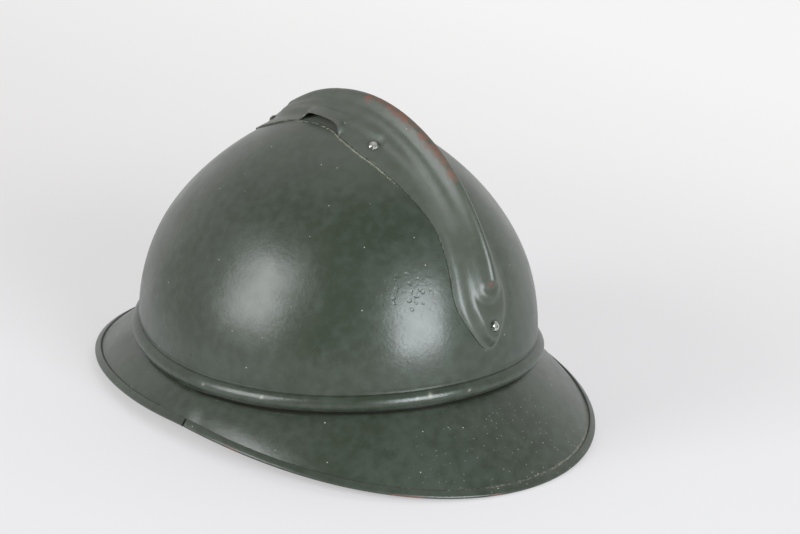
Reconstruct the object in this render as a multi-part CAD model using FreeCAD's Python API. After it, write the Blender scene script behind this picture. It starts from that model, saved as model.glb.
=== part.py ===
import FreeCAD, Part
import math
import os

from FreeCAD import Placement, Rotation, Vector

# Steel combat helmet of the first world war: a deep-drawn bowl with a rolled bead,
# a two-piece brim lapped at the sides, and a stamped comb riveted over a crown vent.
# Everything is built in a level frame, front towards -Y and the wearer's left towards +X,
# and is then pitched to the attitude in which the helmet rests on its brim.
# All lengths are in millimetres and all angles in degrees.

SHEET = 0.7

# Bowl: an oval in plan, with semi-axes at the datum height and a polar profile
BOWL_HALF_WIDTH = 97.0
BOWL_HALF_LENGTH = 109.8
BOWL_HEIGHT = 127.8
PROFILE_TERMS = (-0.0078, 0.0246, 0.0067)
REAR_FULLNESS = 0.062
REAR_FULLNESS_POWER = 3
VENT_HALF_WIDTH = 8.0
VENT_HALF_LENGTH = 24.0
BOWL_SECTIONS = 24
BOWL_PROFILE_POINTS = 11

# Rolled bead at the lower edge of the bowl; its line dips at the sides
BEAD_HEIGHT = 8.5
BEAD_REACH = 3.5
BEAD_LIP_REACH = 1.0
JUNCTION_LEVEL = 5.2
JUNCTION_WAVE = 3.1

# Brim: reach outwards from the bead and level of the rim at the side, the front and the rear
SIDE_REACH = 10.7
FRONT_REACH = 32.0
REAR_REACH = 35.9
SIDE_LEVEL = -13.2
FRONT_LEVEL = -15.2
REAR_LEVEL = -28.8
FRONT_SWEEP = 2.42
REAR_SWEEP = 1.78
FLANGE_RISE = 11.0
FLANGE_GAP = 0.85
ROOT_RADIUS = 3.0
ROOT_DROP = 1.5
PLATE_CROWN = 1.1
HEM_WIDTH = 4.2
HEM_STEP = 1.2
REAR_PLATE_END = 96.0
REAR_HEM_END = 85.2
FRONT_PLATE_END = 86.0
LAP_LIFT = 0.75
BRIM_SECTIONS = 25

# Comb, measured along the middle of the bowl from the crown, rearwards positive
COMB_GAP = 0.15
COMB_TIP_DEPTH = 6.0
COMB_HALF_WIDTHS = (
    (-60, 8.0), (-54, 12.5), (-48, 16.0), (-41, 18.8), (-30, 20.0), (-12, 18.2), (2, 17.7),
    (13, 18.2), (24, 20.8), (40, 22.3), (52, 21.4), (66, 19.7), (80, 17.4), (90, 15.6),
    (99, 14.8), (110, 15.4), (124, 17.1), (133, 18.3), (140, 17.2), (148, 13.9), (157.5, 7.9),
)
RIDGE_HEIGHTS = (
    (-66, 4.2), (-45, 5.6), (-30, 7.4), (-15, 9.5), (5, 11.4), (32, 13.4), (60, 14.3),
    (80, 14.1), (100, 13.1), (120, 11.8), (131, 10.8), (164, 10.0),
)
SHOULDER_HALF_WIDTHS = (
    (-56, 1.0), (-50, 5.0), (-43, 9.0), (-34, 12.5), (-20, 14.2), (20, 14.8), (45, 14.2),
    (62, 13.0), (80, 12.2), (100, 12.0), (120, 13.4), (132, 14.6), (139, 14.4), (147, 12.0),
    (154, 8.6), (159, 4.5), (163, 0.5),
)
SHOULDER_HEIGHTS = (
    (-66, 2.2), (-36, 2.6), (5, 3.2), (60, 3.5), (100, 3.3), (131, 3.4), (150, 3.9), (164, 3.6),
)
SHOULDER_FLANK = 4.6
SHOULDER_ROUNDING = 1.2
# Upper steps of the comb: half width, width of the flank, front end, rear end, share of height
RIDGE_STEP = (5.0, 3.4, -34.5, 128.4, 0.63)
RIB_STEP = (8.8, 3.2, -34.0, 131.4, 0.37)

# Vent mouths: the flange is flared up at the sides of the crown
MOUTH_START = -13.0
MOUTH_FULL = -4.0
MOUTH_END = 20.5
MOUTH_LIFT = 4.3
MOUTH_ROOT = 0.45
MOUTH_SPREAD = 0.5
MOUTH_CLOSING = 2.2
MOUTH_FADE = 22.0
COMB_COLUMNS = 41
COMB_ROW_STEP = 4.0

# Rivets: domed head outside, upset head inside
RIVET_HEAD_RADIUS = 2.9
RIVET_HEAD_HEIGHT = 1.9
RIVET_SHANK_RADIUS = 1.5
RIVET_UPSET_RADIUS = 2.5
RIVET_UPSET_HEIGHT = 1.0
RIVET_CLEARANCE = 0.08
SEAT_RADIUS = 3.4
SEAT_BLEND = 1.8
# Pressed seat of each rivet: station, distance from the middle and height over the bowl
RIVET_SEATS = {
    "comb_front_rivet": (-53.0, 0.0, 2.3),
    "comb_rear_rivet": (151.0, -0.6, 3.9),
    "comb_left_rivet": (41.7, 15.1, 0.95),
    "comb_right_rivet": (41.7, -15.1, 0.95),
}

# Liner: insets are measured inwards from the oval of the bowl
SPACER_INSET = 4.6
SPACER_WAVE = 1.7
SPACER_SHEET = 0.5
SPACER_PITCH = 7.0
SPACER_LEVEL = 14.0
SPACER_HEIGHT = 20.0
SPACER_SPAN = 50.0
FELT_INSET = 7.3
FELT_THICKNESS = 2.2
FELT_LEVEL = 3.7
FELT_HEIGHT = 38.0
BAND_INSET = 9.8
BAND_THICKNESS = 1.5
BAND_LEVEL = 2.0
BAND_HEIGHT = 38.0
TONGUE_COUNT = 7
TONGUE_INSET = 11.6
TONGUE_THICKNESS = 1.3
TONGUE_SPRING_LEVEL = 36.0
TONGUE_RISE = 56.0
TONGUE_START = -9.0
TONGUE_END = 70.0
TONGUE_HALF_ANGLE = 24.9
TONGUE_TIP_WIDTH = 9.0
TONGUE_HOLE_RADIUS = 2.2
TAB_WIDTH = 12.0
TAB_SHEET = 0.6
TAB_TOP = 36.0
TAB_BEND_LEVEL = 0.9
TAB_HOOK_HEIGHT = 9.0
TAB_AZIMUTHS = {
    "liner_tab_rear_left": 45.0,
    "liner_tab_front_left": 135.0,
    "liner_tab_front_right": 225.0,
    "liner_tab_rear_right": 315.0,
}
SPACER_AZIMUTHS = {
    "spacer_rear": 0.0,
    "spacer_left": 90.0,
    "spacer_front": 180.0,
    "spacer_right": 270.0,
}

# Chin strap bails of steel wire, each hinged in a lug soldered inside the brim flange
BAIL_WIRE_RADIUS = 1.2
BAIL_WIDTH = 24.0
BAIL_DROP = 13.0
BAIL_CORNER = 3.0
HINGE_CLEARANCE = 0.06
LUG_LENGTH = 15.0
LUG_PLATE = 1.0
LUG_GAP = 0.55
LUG_PLATE_TOP = 11.0
LUG_BARREL_RADIUS = 2.3
LUG_Y = -2.0
HINGE_LEVEL = -3.0
HINGE_INSET = 5.6

REST_FLAT_DEPTH = 0.15


def smooth_step(value):
    """Rise from 0 to 1 with level ends."""
    value = min(max(value, 0.0), 1.0)
    return value * value * (3.0 - 2.0 * value)


def through(table, station):
    """Read a smooth curve through the stations and values of a table."""
    if station <= table[0][0]:
        return table[0][1]
    if station >= table[-1][0]:
        return table[-1][1]
    last = len(table) - 1
    index = max(i for i in range(last) if table[i][0] <= station)
    x0, y0 = table[index]
    x1, y1 = table[index + 1]
    xa, ya = table[max(index - 1, 0)]
    xb, yb = table[min(index + 2, last)]
    span = x1 - x0
    slope0 = (y1 - ya) / (x1 - xa)
    slope1 = (yb - y0) / (xb - x0)
    f = (station - x0) / span
    return (
        y0 * (1 + 2 * f) * (1 - f) ** 2
        + y1 * f * f * (3 - 2 * f)
        + slope0 * span * f * (1 - f) ** 2
        - slope1 * span * f * f * (1 - f)
    )


def profile_radius(rise, azimuth):
    """Polar radius of the bowl, as a share of its semi-axes, at an angle above the datum."""
    u = math.radians(rise)
    radius = 1.0
    for order, term in enumerate(PROFILE_TERMS, start=1):
        radius += term * math.sin(2 * order * u)
    rearward = max(math.cos(math.radians(azimuth)), 0.0) ** REAR_FULLNESS_POWER
    hump = 2.6 * math.sin(u) ** 2 * math.cos(u)
    return radius + REAR_FULLNESS * hump * rearward


def bowl_point(rise, azimuth):
    """Point on the outside of the bowl; azimuth 0 is the rear and 90 the wearer's left."""
    u = math.radians(rise)
    t = math.radians(azimuth)
    radius = profile_radius(rise, azimuth)
    return Vector(
        BOWL_HALF_WIDTH * radius * math.cos(u) * math.sin(t),
        BOWL_HALF_LENGTH * radius * math.cos(u) * math.cos(t),
        BOWL_HEIGHT * radius * math.sin(u),
    )


def bowl_normal(rise, azimuth):
    """Outward unit normal of the bowl."""
    step = 0.05
    along = bowl_point(rise + step, azimuth) - bowl_point(rise - step, azimuth)
    around = bowl_point(rise, azimuth + step) - bowl_point(rise, azimuth - step)
    normal = around.cross(along)
    normal.normalize()
    return -normal if normal.dot(bowl_point(rise, azimuth)) < 0 else normal


def bowl_excess(point):
    """How far a point lies outside the bowl, as a share of the profile radius."""
    x = point.x / BOWL_HALF_WIDTH
    y = point.y / BOWL_HALF_LENGTH
    z = point.z / BOWL_HEIGHT
    flat = math.hypot(x, y)
    rise = math.degrees(math.atan2(z, flat))
    azimuth = math.degrees(math.atan2(x, y))
    return math.hypot(flat, z) - profile_radius(rise, azimuth)


def solve(function, low, high):
    """Find where a function changes sign between two values."""
    low_sign = function(low) > 0
    for _ in range(50):
        middle = (low + high) / 2
        if (function(middle) > 0) == low_sign:
            low = middle
        else:
            high = middle
    return (low + high) / 2


def junction_level(azimuth):
    """Height of the line where the brim leaves the bead."""
    return JUNCTION_LEVEL + JUNCTION_WAVE * math.cos(math.radians(2 * azimuth))


def bead_root(azimuth):
    """Rise angle on the bowl at which the bead begins."""
    top = junction_level(azimuth) + BEAD_HEIGHT
    return solve(lambda rise: bowl_point(rise, azimuth).z - top, 0.0, 30.0)


def oval_point(azimuth, offset, level):
    """Point at an outward offset from the oval of the bowl."""
    t = math.radians(azimuth)
    return Vector(
        (BOWL_HALF_WIDTH + offset) * math.sin(t),
        (BOWL_HALF_LENGTH + offset) * math.cos(t),
        level,
    )


def wall_offset(azimuth):
    """Outward offset of the bowl wall at the root of the bead."""
    root = bowl_point(bead_root(azimuth), azimuth)
    return math.hypot(root.x, root.y) - oval_point(azimuth, 0, 0).Length


def spline(points):
    """Edge along a smooth curve through points."""
    curve = Part.BSplineCurve()
    curve.interpolate(points)
    return curve.toShape()


def line(start, end):
    """Straight edge."""
    return Part.LineSegment(start, end).toShape()


def arc(start, middle, end):
    """Circular edge through three points."""
    return Part.Arc(start, middle, end).toShape()


def smooth_surface(grid):
    """Smooth surface steered by a grid of points, without overshoot between them."""
    knots = []
    mults = []
    for count in (len(grid), len(grid[0])):
        spans = count - 3
        knots.append(list(range(spans + 1)))
        mults.append([4] + [1] * (spans - 1) + [4])
    surface = Part.BSplineSurface()
    surface.buildFromPolesMultsKnots(
        grid, mults[0], mults[1], knots[0], knots[1], False, False, 3, 3
    )
    return surface


def sheet_solid(outer_grid, inner_grid):
    """Solid between two grids of points, closed along its four borders."""
    faces = []
    borders = []
    for grid in (outer_grid, inner_grid):
        surface = smooth_surface(grid)
        u0, u1, v0, v1 = surface.bounds()
        faces.append(surface.toShape())
        borders.append([
            surface.uIso(u0).toShape(),
            surface.uIso(u1).toShape(),
            surface.vIso(v0).toShape(),
            surface.vIso(v1).toShape(),
        ])
    for outer_edge, inner_edge in zip(*borders):
        faces.append(Part.makeRuledSurface(outer_edge, inner_edge))
    skin = Part.makeCompound(faces)
    skin.sewShape()
    solid = Part.makeSolid(skin.Shells[0])
    if solid.Volume < 0:
        solid.reverse()
    return solid


def offset_grid(grid, distance):
    """Move each point of a grid along the grid's own normal."""
    rows = len(grid)
    columns = len(grid[0])
    moved = []
    for i in range(rows):
        line_of_points = []
        for j in range(columns):
            along = grid[min(i + 1, rows - 1)][j] - grid[max(i - 1, 0)][j]
            across = grid[i][min(j + 1, columns - 1)] - grid[i][max(j - 1, 0)]
            normal = along.cross(across)
            normal.normalize()
            line_of_points.append(grid[i][j] + normal * distance)
        moved.append(line_of_points)
    return moved


def vent_rise(azimuth):
    """Rise angle of the edge of the crown vent."""
    t = math.radians(azimuth)
    share = 1 / math.hypot(
        BOWL_HALF_WIDTH * math.sin(t) / VENT_HALF_WIDTH,
        BOWL_HALF_LENGTH * math.cos(t) / VENT_HALF_LENGTH,
    )

    def beyond(rise):
        return profile_radius(rise, azimuth) * math.cos(math.radians(rise)) - share

    return solve(beyond, 45.0, 90.0)


def bowl_section(azimuth):
    """Closed section of the bowl sheet from the crown vent down to the lip of the bead."""
    top = vent_rise(azimuth)
    bottom = bead_root(azimuth)
    outside = []
    inside = []
    for step in range(BOWL_PROFILE_POINTS):
        rise = top + (bottom - top) * step / (BOWL_PROFILE_POINTS - 1)
        point = bowl_point(rise, azimuth)
        outside.append(point)
        inside.append(point - bowl_normal(rise, azimuth) * SHEET)
    wall = wall_offset(azimuth)
    level = junction_level(azimuth)
    bead_middle = oval_point(azimuth, wall + BEAD_REACH, level + BEAD_HEIGHT * 0.5)
    bead_end = oval_point(azimuth, wall + BEAD_LIP_REACH, level + 0.3)
    hollow_middle = oval_point(azimuth, wall + BEAD_REACH - SHEET, level + BEAD_HEIGHT * 0.5)
    hollow_end = oval_point(azimuth, wall + BEAD_LIP_REACH - 0.3, level + 0.3 + SHEET)
    return Part.Wire([
        spline(outside),
        arc(outside[-1], bead_middle, bead_end),
        line(bead_end, hollow_end),
        arc(hollow_end, hollow_middle, inside[-1]),
        spline(inside[::-1]),
        line(inside[0], outside[0]),
    ])


def make_bowl():
    """Drawn bowl, lofted round the oval."""
    turn = 360.0 / BOWL_SECTIONS
    sections = [bowl_section(turn * index) for index in range(BOWL_SECTIONS)]
    return Part.makeLoft(sections, True, False, True)


def brim_shares(azimuth):
    """How strongly the rear and the front shapes of the brim count at an azimuth."""
    along = math.cos(math.radians(azimuth))
    rear = max(along, 0.0) ** REAR_SWEEP
    front = max(-along, 0.0) ** FRONT_SWEEP
    return rear, front


def rim_reach(azimuth):
    """Outward offset of the rim from the oval of the bowl."""
    rear, front = brim_shares(azimuth)
    reach = SIDE_REACH + (REAR_REACH - SIDE_REACH) * rear + (FRONT_REACH - SIDE_REACH) * front
    return BEAD_REACH + reach


def rim_level(azimuth):
    """Height of the rim."""
    rear, front = brim_shares(azimuth)
    return SIDE_LEVEL + (REAR_LEVEL - SIDE_LEVEL) * rear + (FRONT_LEVEL - SIDE_LEVEL) * front


def brim_line(azimuth, lift):
    """Upper line of the brim plate as (offset, level) pairs, from the flange to the hem."""
    flange = wall_offset(azimuth) - SHEET - FLANGE_GAP + lift
    bend = junction_level(azimuth) + ROOT_DROP - ROOT_RADIUS * 0.2
    run = rim_reach(azimuth) - flange - ROOT_RADIUS * 0.4
    fall = bend - ROOT_RADIUS * 0.6 - rim_level(azimuth)
    slope = math.atan2(fall, run)
    turn = math.pi / 2 - slope
    centre = (flange + ROOT_RADIUS, bend)
    points = [(flange, bend)]
    for share in (0.5, 1.0):
        angle = turn * share
        points.append((
            centre[0] - ROOT_RADIUS * math.cos(angle),
            centre[1] - ROOT_RADIUS * math.sin(angle),
        ))
    root = points[-1]
    hem = (
        rim_reach(azimuth) - HEM_WIDTH * math.cos(slope) - lift * math.sin(slope) * 0.2,
        rim_level(azimuth) + HEM_WIDTH * math.sin(slope) + lift,
    )
    for share in (0.35, 0.7):
        crown = PLATE_CROWN * 4 * share * (1 - share)
        points.append((
            root[0] + (hem[0] - root[0]) * share + crown * math.sin(slope),
            root[1] + (hem[1] - root[1]) * share + crown * math.cos(slope),
        ))
    points.append(hem)
    return points, slope


def brim_section(azimuth, lift):
    """Closed section of a brim plate: upright flange, root bend, plate and folded hem."""
    upper, slope = brim_line(azimuth, lift)
    lower = []
    last = len(upper) - 1
    for index, point in enumerate(upper):
        before = upper[max(index - 1, 0)]
        after = upper[min(index + 1, last)]
        length = math.hypot(after[0] - before[0], after[1] - before[1])
        across = ((after[1] - before[1]) / length, -(after[0] - before[0]) / length)
        if index == 0:
            across = (-1.0, 0.0)
        lower.append((point[0] + across[0] * SHEET, point[1] + across[1] * SHEET))
    out = (math.cos(slope), -math.sin(slope))
    up = (math.sin(slope), math.cos(slope))
    radius = (SHEET + HEM_STEP) / 2
    hem = upper[-1]

    def place(offset, level):
        return oval_point(azimuth, offset, level)

    def hem_point(along, above):
        return place(hem[0] + out[0] * along + up[0] * above, hem[1] + out[1] * along + up[1] * above)

    flange_top = junction_level(azimuth) + FLANGE_RISE
    straight = HEM_WIDTH - radius
    middle = HEM_STEP - radius
    under_hem = place(*lower[-1])
    return Part.Wire([
        line(place(lower[0][0], flange_top), place(upper[0][0], flange_top)),
        line(place(upper[0][0], flange_top), place(*upper[0])),
        spline([place(*point) for point in upper]),
        line(hem_point(0, 0), hem_point(0, HEM_STEP)),
        line(hem_point(0, HEM_STEP), hem_point(straight, HEM_STEP)),
        arc(hem_point(straight, HEM_STEP), hem_point(HEM_WIDTH, middle), hem_point(straight, -SHEET)),
        line(hem_point(straight, -SHEET), under_hem),
        spline([place(*point) for point in lower[::-1]]),
        line(place(*lower[0]), place(lower[0][0], flange_top)),
    ])


def rear_lift(azimuth):
    """The rear plate steps up over the end of the front plate."""
    return LAP_LIFT * smooth_step((abs(azimuth) - 81.0) / 5.5)


def make_front_visor():
    """Front plate of the brim, from one side lap round the front to the other."""
    span = 360.0 - 2 * FRONT_PLATE_END
    sections = []
    for index in range(BRIM_SECTIONS):
        azimuth = FRONT_PLATE_END + span * index / (BRIM_SECTIONS - 1)
        sections.append(brim_section(azimuth, 0.0))
    return Part.makeLoft(sections, True, False, False)


def hem_cutter(side):
    """Block that takes the hem off the lapped end of the rear plate."""
    sections = []
    for azimuth in (REAR_HEM_END, 88.0, 91.0, 94.0, REAR_PLATE_END + 2.0):
        upper = brim_line(azimuth, LAP_LIFT)[0]
        inner, level = upper[-1]
        corners = [
            oval_point(side * azimuth, inner - 0.15, level - 6.0),
            oval_point(side * azimuth, inner + 9.0, level - 14.0),
            oval_point(side * azimuth, inner + 9.0, level + 6.0),
            oval_point(side * azimuth, inner - 0.15, level + 6.0),
        ]
        sections.append(Part.makePolygon(corners + corners[:1]))
    return Part.makeLoft(sections, True, True, False)


def make_rear_guard():
    """Rear plate of the brim, whose ends lap over the front plate."""
    sections = []
    for index in range(BRIM_SECTIONS):
        share = 2.0 * index / (BRIM_SECTIONS - 1) - 1.0
        azimuth = REAR_PLATE_END * share * (1.0 - 0.12 * (share * share - 1.0))
        sections.append(brim_section(azimuth, rear_lift(azimuth)))
    guard = Part.makeLoft(sections, True, False, False)
    for side in (-1, 1):
        guard = guard.cut(hem_cutter(side))
    return guard


def midline_table():
    """Stations along the middle of the bowl as (station, y, z), front negative."""
    step = 0.25
    rear = [bowl_point(90.0 - step * index, 0.0) for index in range(int(90 / step) + 1)]
    front = [bowl_point(90.0 - step * index, 180.0) for index in range(int(90 / step) + 1)]
    table = []
    for side, points in ((-1, front), (1, rear)):
        station = 0.0
        run = [(0.0, points[0].y, points[0].z)]
        for before, after in zip(points, points[1:]):
            station += (after - before).Length
            run.append((side * station, after.y, after.z))
        table += run[:0:-1] if side < 0 else run
    return table


MIDLINE = midline_table()


def midline_point(station):
    """Point on the middle of the bowl at a station."""
    low = 0
    high = len(MIDLINE) - 1
    while high - low > 1:
        middle = (low + high) // 2
        if MIDLINE[middle][0] <= station:
            low = middle
        else:
            high = middle
    s0, y0, z0 = MIDLINE[low]
    s1, y1, z1 = MIDLINE[high]
    f = (station - s0) / (s1 - s0)
    return Vector(0, y0 + (y1 - y0) * f, z0 + (z1 - z0) * f)


def midline_frame(station):
    """Middle point of the bowl with the smoothed direction that stands off it."""
    reach = 11.0
    along = midline_point(station + reach) - midline_point(station - reach)
    outward = Vector(0, -along.z, along.y)
    outward.normalize()
    if outward.z < 0 and abs(station) < 60:
        outward = -outward
    return midline_point(station), outward


def bowl_drop(base, outward, across):
    """Distance along a comb frame from the middle line's height down to the bowl."""
    return solve(lambda n: bowl_excess(base + Vector(across, 0, 0) + outward * n), -40.0, 12.0)


def step_share(step, station, across):
    """Share of height that an upper comb step adds: full inside, falling over its flank."""
    half_width, flank, front_end, rear_end, share = step
    beyond = max(station - rear_end, front_end - station, 0.0)
    distance = math.hypot(across, beyond)
    return share * smooth_step((half_width - distance) / flank)


def mouth_lift(station, across):
    """How far the flange is flared up at the vent mouths."""
    side = abs(across) / through(COMB_HALF_WIDTHS, station)
    closing = MOUTH_CLOSING + MOUTH_FADE * max(1.0 - side, 0.0)
    opened = smooth_step((station - MOUTH_START) / (MOUTH_FULL - MOUTH_START))
    closed = smooth_step((station - MOUTH_END) / closing + 0.5)
    return MOUTH_LIFT * opened * (1.0 - closed) * smooth_step((side - MOUTH_ROOT) / MOUTH_SPREAD)


def comb_height(station, across):
    """Height of the outside of the comb over the bowl."""
    flange = COMB_GAP + SHEET
    shoulder = through(SHOULDER_HEIGHTS, station)
    above = through(RIDGE_HEIGHTS, station) - flange - shoulder
    inside = through(SHOULDER_HALF_WIDTHS, station) - math.hypot(across, SHOULDER_ROUNDING)
    height = flange + shoulder * smooth_step(inside / SHOULDER_FLANK)
    height += above * step_share(RIB_STEP, station, across)
    height += above * step_share(RIDGE_STEP, station, across)
    height += mouth_lift(station, across)
    for seat_station, seat_across, seat_height in RIVET_SEATS.values():
        distance = math.hypot(station - seat_station, across - seat_across)
        pressed = 1.0 - smooth_step((distance - SEAT_RADIUS) / SEAT_BLEND)
        height += (seat_height - height) * pressed
    return height


def comb_surface_point(station, across):
    """Point on the outside of the comb."""
    base, outward = midline_frame(station)
    level = bowl_drop(base, outward, across) + comb_height(station, across)
    return base + Vector(across, 0, 0) + outward * level


def comb_rows():
    """Stations of the comb's rows along its edge, closer together at its steep places."""
    first = COMB_HALF_WIDTHS[0][0]
    last = COMB_HALF_WIDTHS[-1][0]
    rows = []
    station = first
    while station < last - 0.5:
        rows.append(station)
        near_mouth_end = abs(station - MOUTH_END) < 4.5
        near_seat = any(abs(station - seat[0]) < 7.5 for seat in RIVET_SEATS.values())
        near_end = station < -27 or station > 119
        step = COMB_ROW_STEP
        if near_mouth_end:
            step = 0.9
        elif near_seat:
            step = 1.4
        elif near_end:
            step = 1.6
        station += step
    rows.append(last)
    return rows


def make_comb():
    """Stamped comb: central ridge, stepped shoulders, vent mouths and a riveted foot at each end."""
    outer = []
    rows = comb_rows()
    for edge_station in rows:
        share = (edge_station - rows[0]) / (rows[-1] - rows[0])
        bulge = COMB_TIP_DEPTH * (smooth_step((share - 0.9) / 0.1) - smooth_step((0.1 - share) / 0.1))
        half_width = through(COMB_HALF_WIDTHS, edge_station)
        row = []
        for column in range(COMB_COLUMNS):
            b = 2.0 * column / (COMB_COLUMNS - 1) - 1.0
            station = edge_station + bulge * (1.0 - b * b)
            row.append(comb_surface_point(station, half_width * b))
        outer.append(row)
    inner = offset_grid(outer, SHEET)
    if (inner[5][20] - outer[5][20]).dot(outer[5][20]) > 0:
        inner = offset_grid(outer, -SHEET)
    return sheet_solid(outer, inner)


def rivet_frame(seat, comb):
    """Place of a rivet on the comb, the direction of its axis and the depth down to the bowl."""
    station, across, height = seat
    place = comb_surface_point(station, across)
    step = 0.5
    along = comb_surface_point(station + step, across) - comb_surface_point(station - step, across)
    sideways = comb_surface_point(station, across + step) - comb_surface_point(station, across - step)
    axis = sideways.cross(along)
    axis.normalize()
    if axis.dot(place) < 0:
        axis = -axis
    probe = line(place + axis * 3.0, place - axis * 3.0).common(comb)
    place += axis * max((vertex.Point - place).dot(axis) for vertex in probe.Vertexes)
    grip = height
    while bowl_excess(place - axis * grip) > 0:
        grip += 0.05
    return place, axis, grip + SHEET


def make_rivet(place, axis, grip):
    """Rivet with a domed head on the comb and an upset head inside the bowl."""
    radius = (RIVET_HEAD_RADIUS ** 2 + RIVET_HEAD_HEIGHT ** 2) / (2 * RIVET_HEAD_HEIGHT)
    centre = RIVET_HEAD_HEIGHT - radius
    foot = -grip - 2 * RIVET_CLEARANCE
    ball = Part.makeSphere(radius, Vector(0, 0, centre))
    above_seat = Part.makeCylinder(radius + 1, radius + 1, Vector(0, 0, RIVET_CLEARANCE))
    shank = Part.makeCylinder(RIVET_SHANK_RADIUS, 0.3 - foot, Vector(0, 0, foot - 0.1))
    upset = Part.makeCylinder(
        RIVET_UPSET_RADIUS, RIVET_UPSET_HEIGHT, Vector(0, 0, foot - RIVET_UPSET_HEIGHT)
    )
    rivet = ball.common(above_seat).fuse([shank, upset]).removeSplitter()
    rivet.Placement = Placement(place, Rotation(Vector(0, 0, 1), axis))
    return rivet


def rivet_hole(place, axis, grip):
    """Cylinder that clears a rivet shank through the comb and the bowl."""
    depth = grip + 6.0
    return Part.makeCylinder(RIVET_SHANK_RADIUS + 0.02, depth + 3.0, place - axis * depth, axis)


def oval_ring(outer_inset, thickness, level, height):
    """Upright band that follows the oval of the bowl."""
    blanks = []
    for inset in (outer_inset, outer_inset + thickness):
        oval = Part.Ellipse(
            Vector(0, 0, level), BOWL_HALF_LENGTH - inset, BOWL_HALF_WIDTH - inset
        )
        oval.rotate(Placement(Vector(0, 0, 0), Rotation(Vector(0, 0, 1), 90)))
        blanks.append(Part.Face(Part.Wire(oval.toShape())).extrude(Vector(0, 0, height)))
    return blanks[0].cut(blanks[1])


def make_felt_band():
    """Felt backing band."""
    return oval_ring(FELT_INSET, FELT_THICKNESS, FELT_LEVEL, FELT_HEIGHT)


def make_head_band():
    """Leather head band, turned out under the felt."""
    upright = oval_ring(BAND_INSET, BAND_THICKNESS, BAND_LEVEL, BAND_HEIGHT)
    turned = oval_ring(FELT_INSET - 0.3, BAND_INSET + BAND_THICKNESS - FELT_INSET + 0.3, BAND_LEVEL, 1.4)
    return upright.fuse(turned).removeSplitter()


def make_spacer(azimuth):
    """Corrugated aluminium strip between the bowl and the felt."""
    step = oval_point(azimuth + 0.5, -SPACER_INSET, 0) - oval_point(azimuth - 0.5, -SPACER_INSET, 0)
    half_wave = SPACER_PITCH / 2
    count = 2 * round(SPACER_SPAN / half_wave)

    def at(along, out):
        angle = azimuth + (along - count * half_wave / 2) / step.Length
        return oval_point(angle, out - SPACER_INSET, SPACER_LEVEL)

    sides = []
    for sign in (1, -1):
        half = sign * SPACER_SHEET / 2
        side = []
        for index in range(count):
            bulge = -1 if index % 2 else 1
            start = at(index * half_wave - half * bulge, 0)
            middle = at((index + 0.5) * half_wave, bulge * SPACER_WAVE + half)
            end = at((index + 1) * half_wave + half * bulge, 0)
            side.append(arc(start, middle, end))
        sides.append(side)
    ends = []
    for index in (0, count):
        along = index * half_wave
        ends.append(line(at(along - SPACER_SHEET / 2, 0), at(along + SPACER_SHEET / 2, 0)))
    outline = Part.Wire(Part.__sortEdges__(sides[0] + [ends[1]] + sides[1] + [ends[0]]))
    return Part.Face(outline).extrude(Vector(0, 0, SPACER_HEIGHT))


def tongue_point(rise, azimuth):
    """Point on the outside of the leather cap that the tongues form."""
    v = math.radians(rise)
    t = math.radians(azimuth)
    shrink = math.cos(max(v, 0.0))
    return Vector(
        (BOWL_HALF_WIDTH - TONGUE_INSET) * shrink * math.sin(t),
        (BOWL_HALF_LENGTH - TONGUE_INSET) * shrink * math.cos(t),
        TONGUE_SPRING_LEVEL + TONGUE_RISE * math.sin(v),
    )


def make_tongue(number):
    """Leather tongue, wide where it is sewn to the band and rounded at its laced tip."""
    azimuth = 360.0 / TONGUE_COUNT * number
    rows = 15
    columns = 11
    outer = []
    for i in range(rows):
        share = i / (rows - 1)
        rise = TONGUE_START + (TONGUE_END - 5.0 - TONGUE_START) * share
        bulge = 5.0 * smooth_step((share - 0.75) / 0.25)
        radius = (BOWL_HALF_WIDTH - TONGUE_INSET) * math.cos(math.radians(max(rise, 0)))
        tip_angle = math.degrees(TONGUE_TIP_WIDTH / radius)
        narrowing = smooth_step(max(rise, 0) / TONGUE_END) ** 0.8
        half_angle = TONGUE_HALF_ANGLE + (tip_angle - TONGUE_HALF_ANGLE) * narrowing
        row = []
        for j in range(columns):
            b = 2.0 * j / (columns - 1) - 1.0
            row.append(tongue_point(rise + bulge * (1 - b * b), azimuth + half_angle * b))
        outer.append(row)
    inner = offset_grid(outer, TONGUE_THICKNESS)
    if (inner[7][5] - outer[7][5]).dot(outer[7][5]) > 0:
        inner = offset_grid(outer, -TONGUE_THICKNESS)
    tongue = sheet_solid(outer, inner)
    tip = tongue_point(TONGUE_END - 6.0, azimuth)
    near = tongue_point(TONGUE_END - 8.0, azimuth)
    far = tongue_point(TONGUE_END - 4.0, azimuth)
    along = far - near
    sideways = Vector(math.cos(math.radians(azimuth)), -math.sin(math.radians(azimuth)), 0)
    axis = along.cross(sideways)
    axis.normalize()
    return tongue.cut(Part.makeCylinder(TONGUE_HOLE_RADIUS, 12.0, tip - axis * 6.0, axis))


def section_frame(azimuth):
    """Outward and sideways directions of the oval at an azimuth."""
    step = 0.5
    sideways = oval_point(azimuth + step, 0, 0) - oval_point(azimuth - step, 0, 0)
    sideways.normalize()
    return Vector(-sideways.y, sideways.x, 0), sideways


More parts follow.
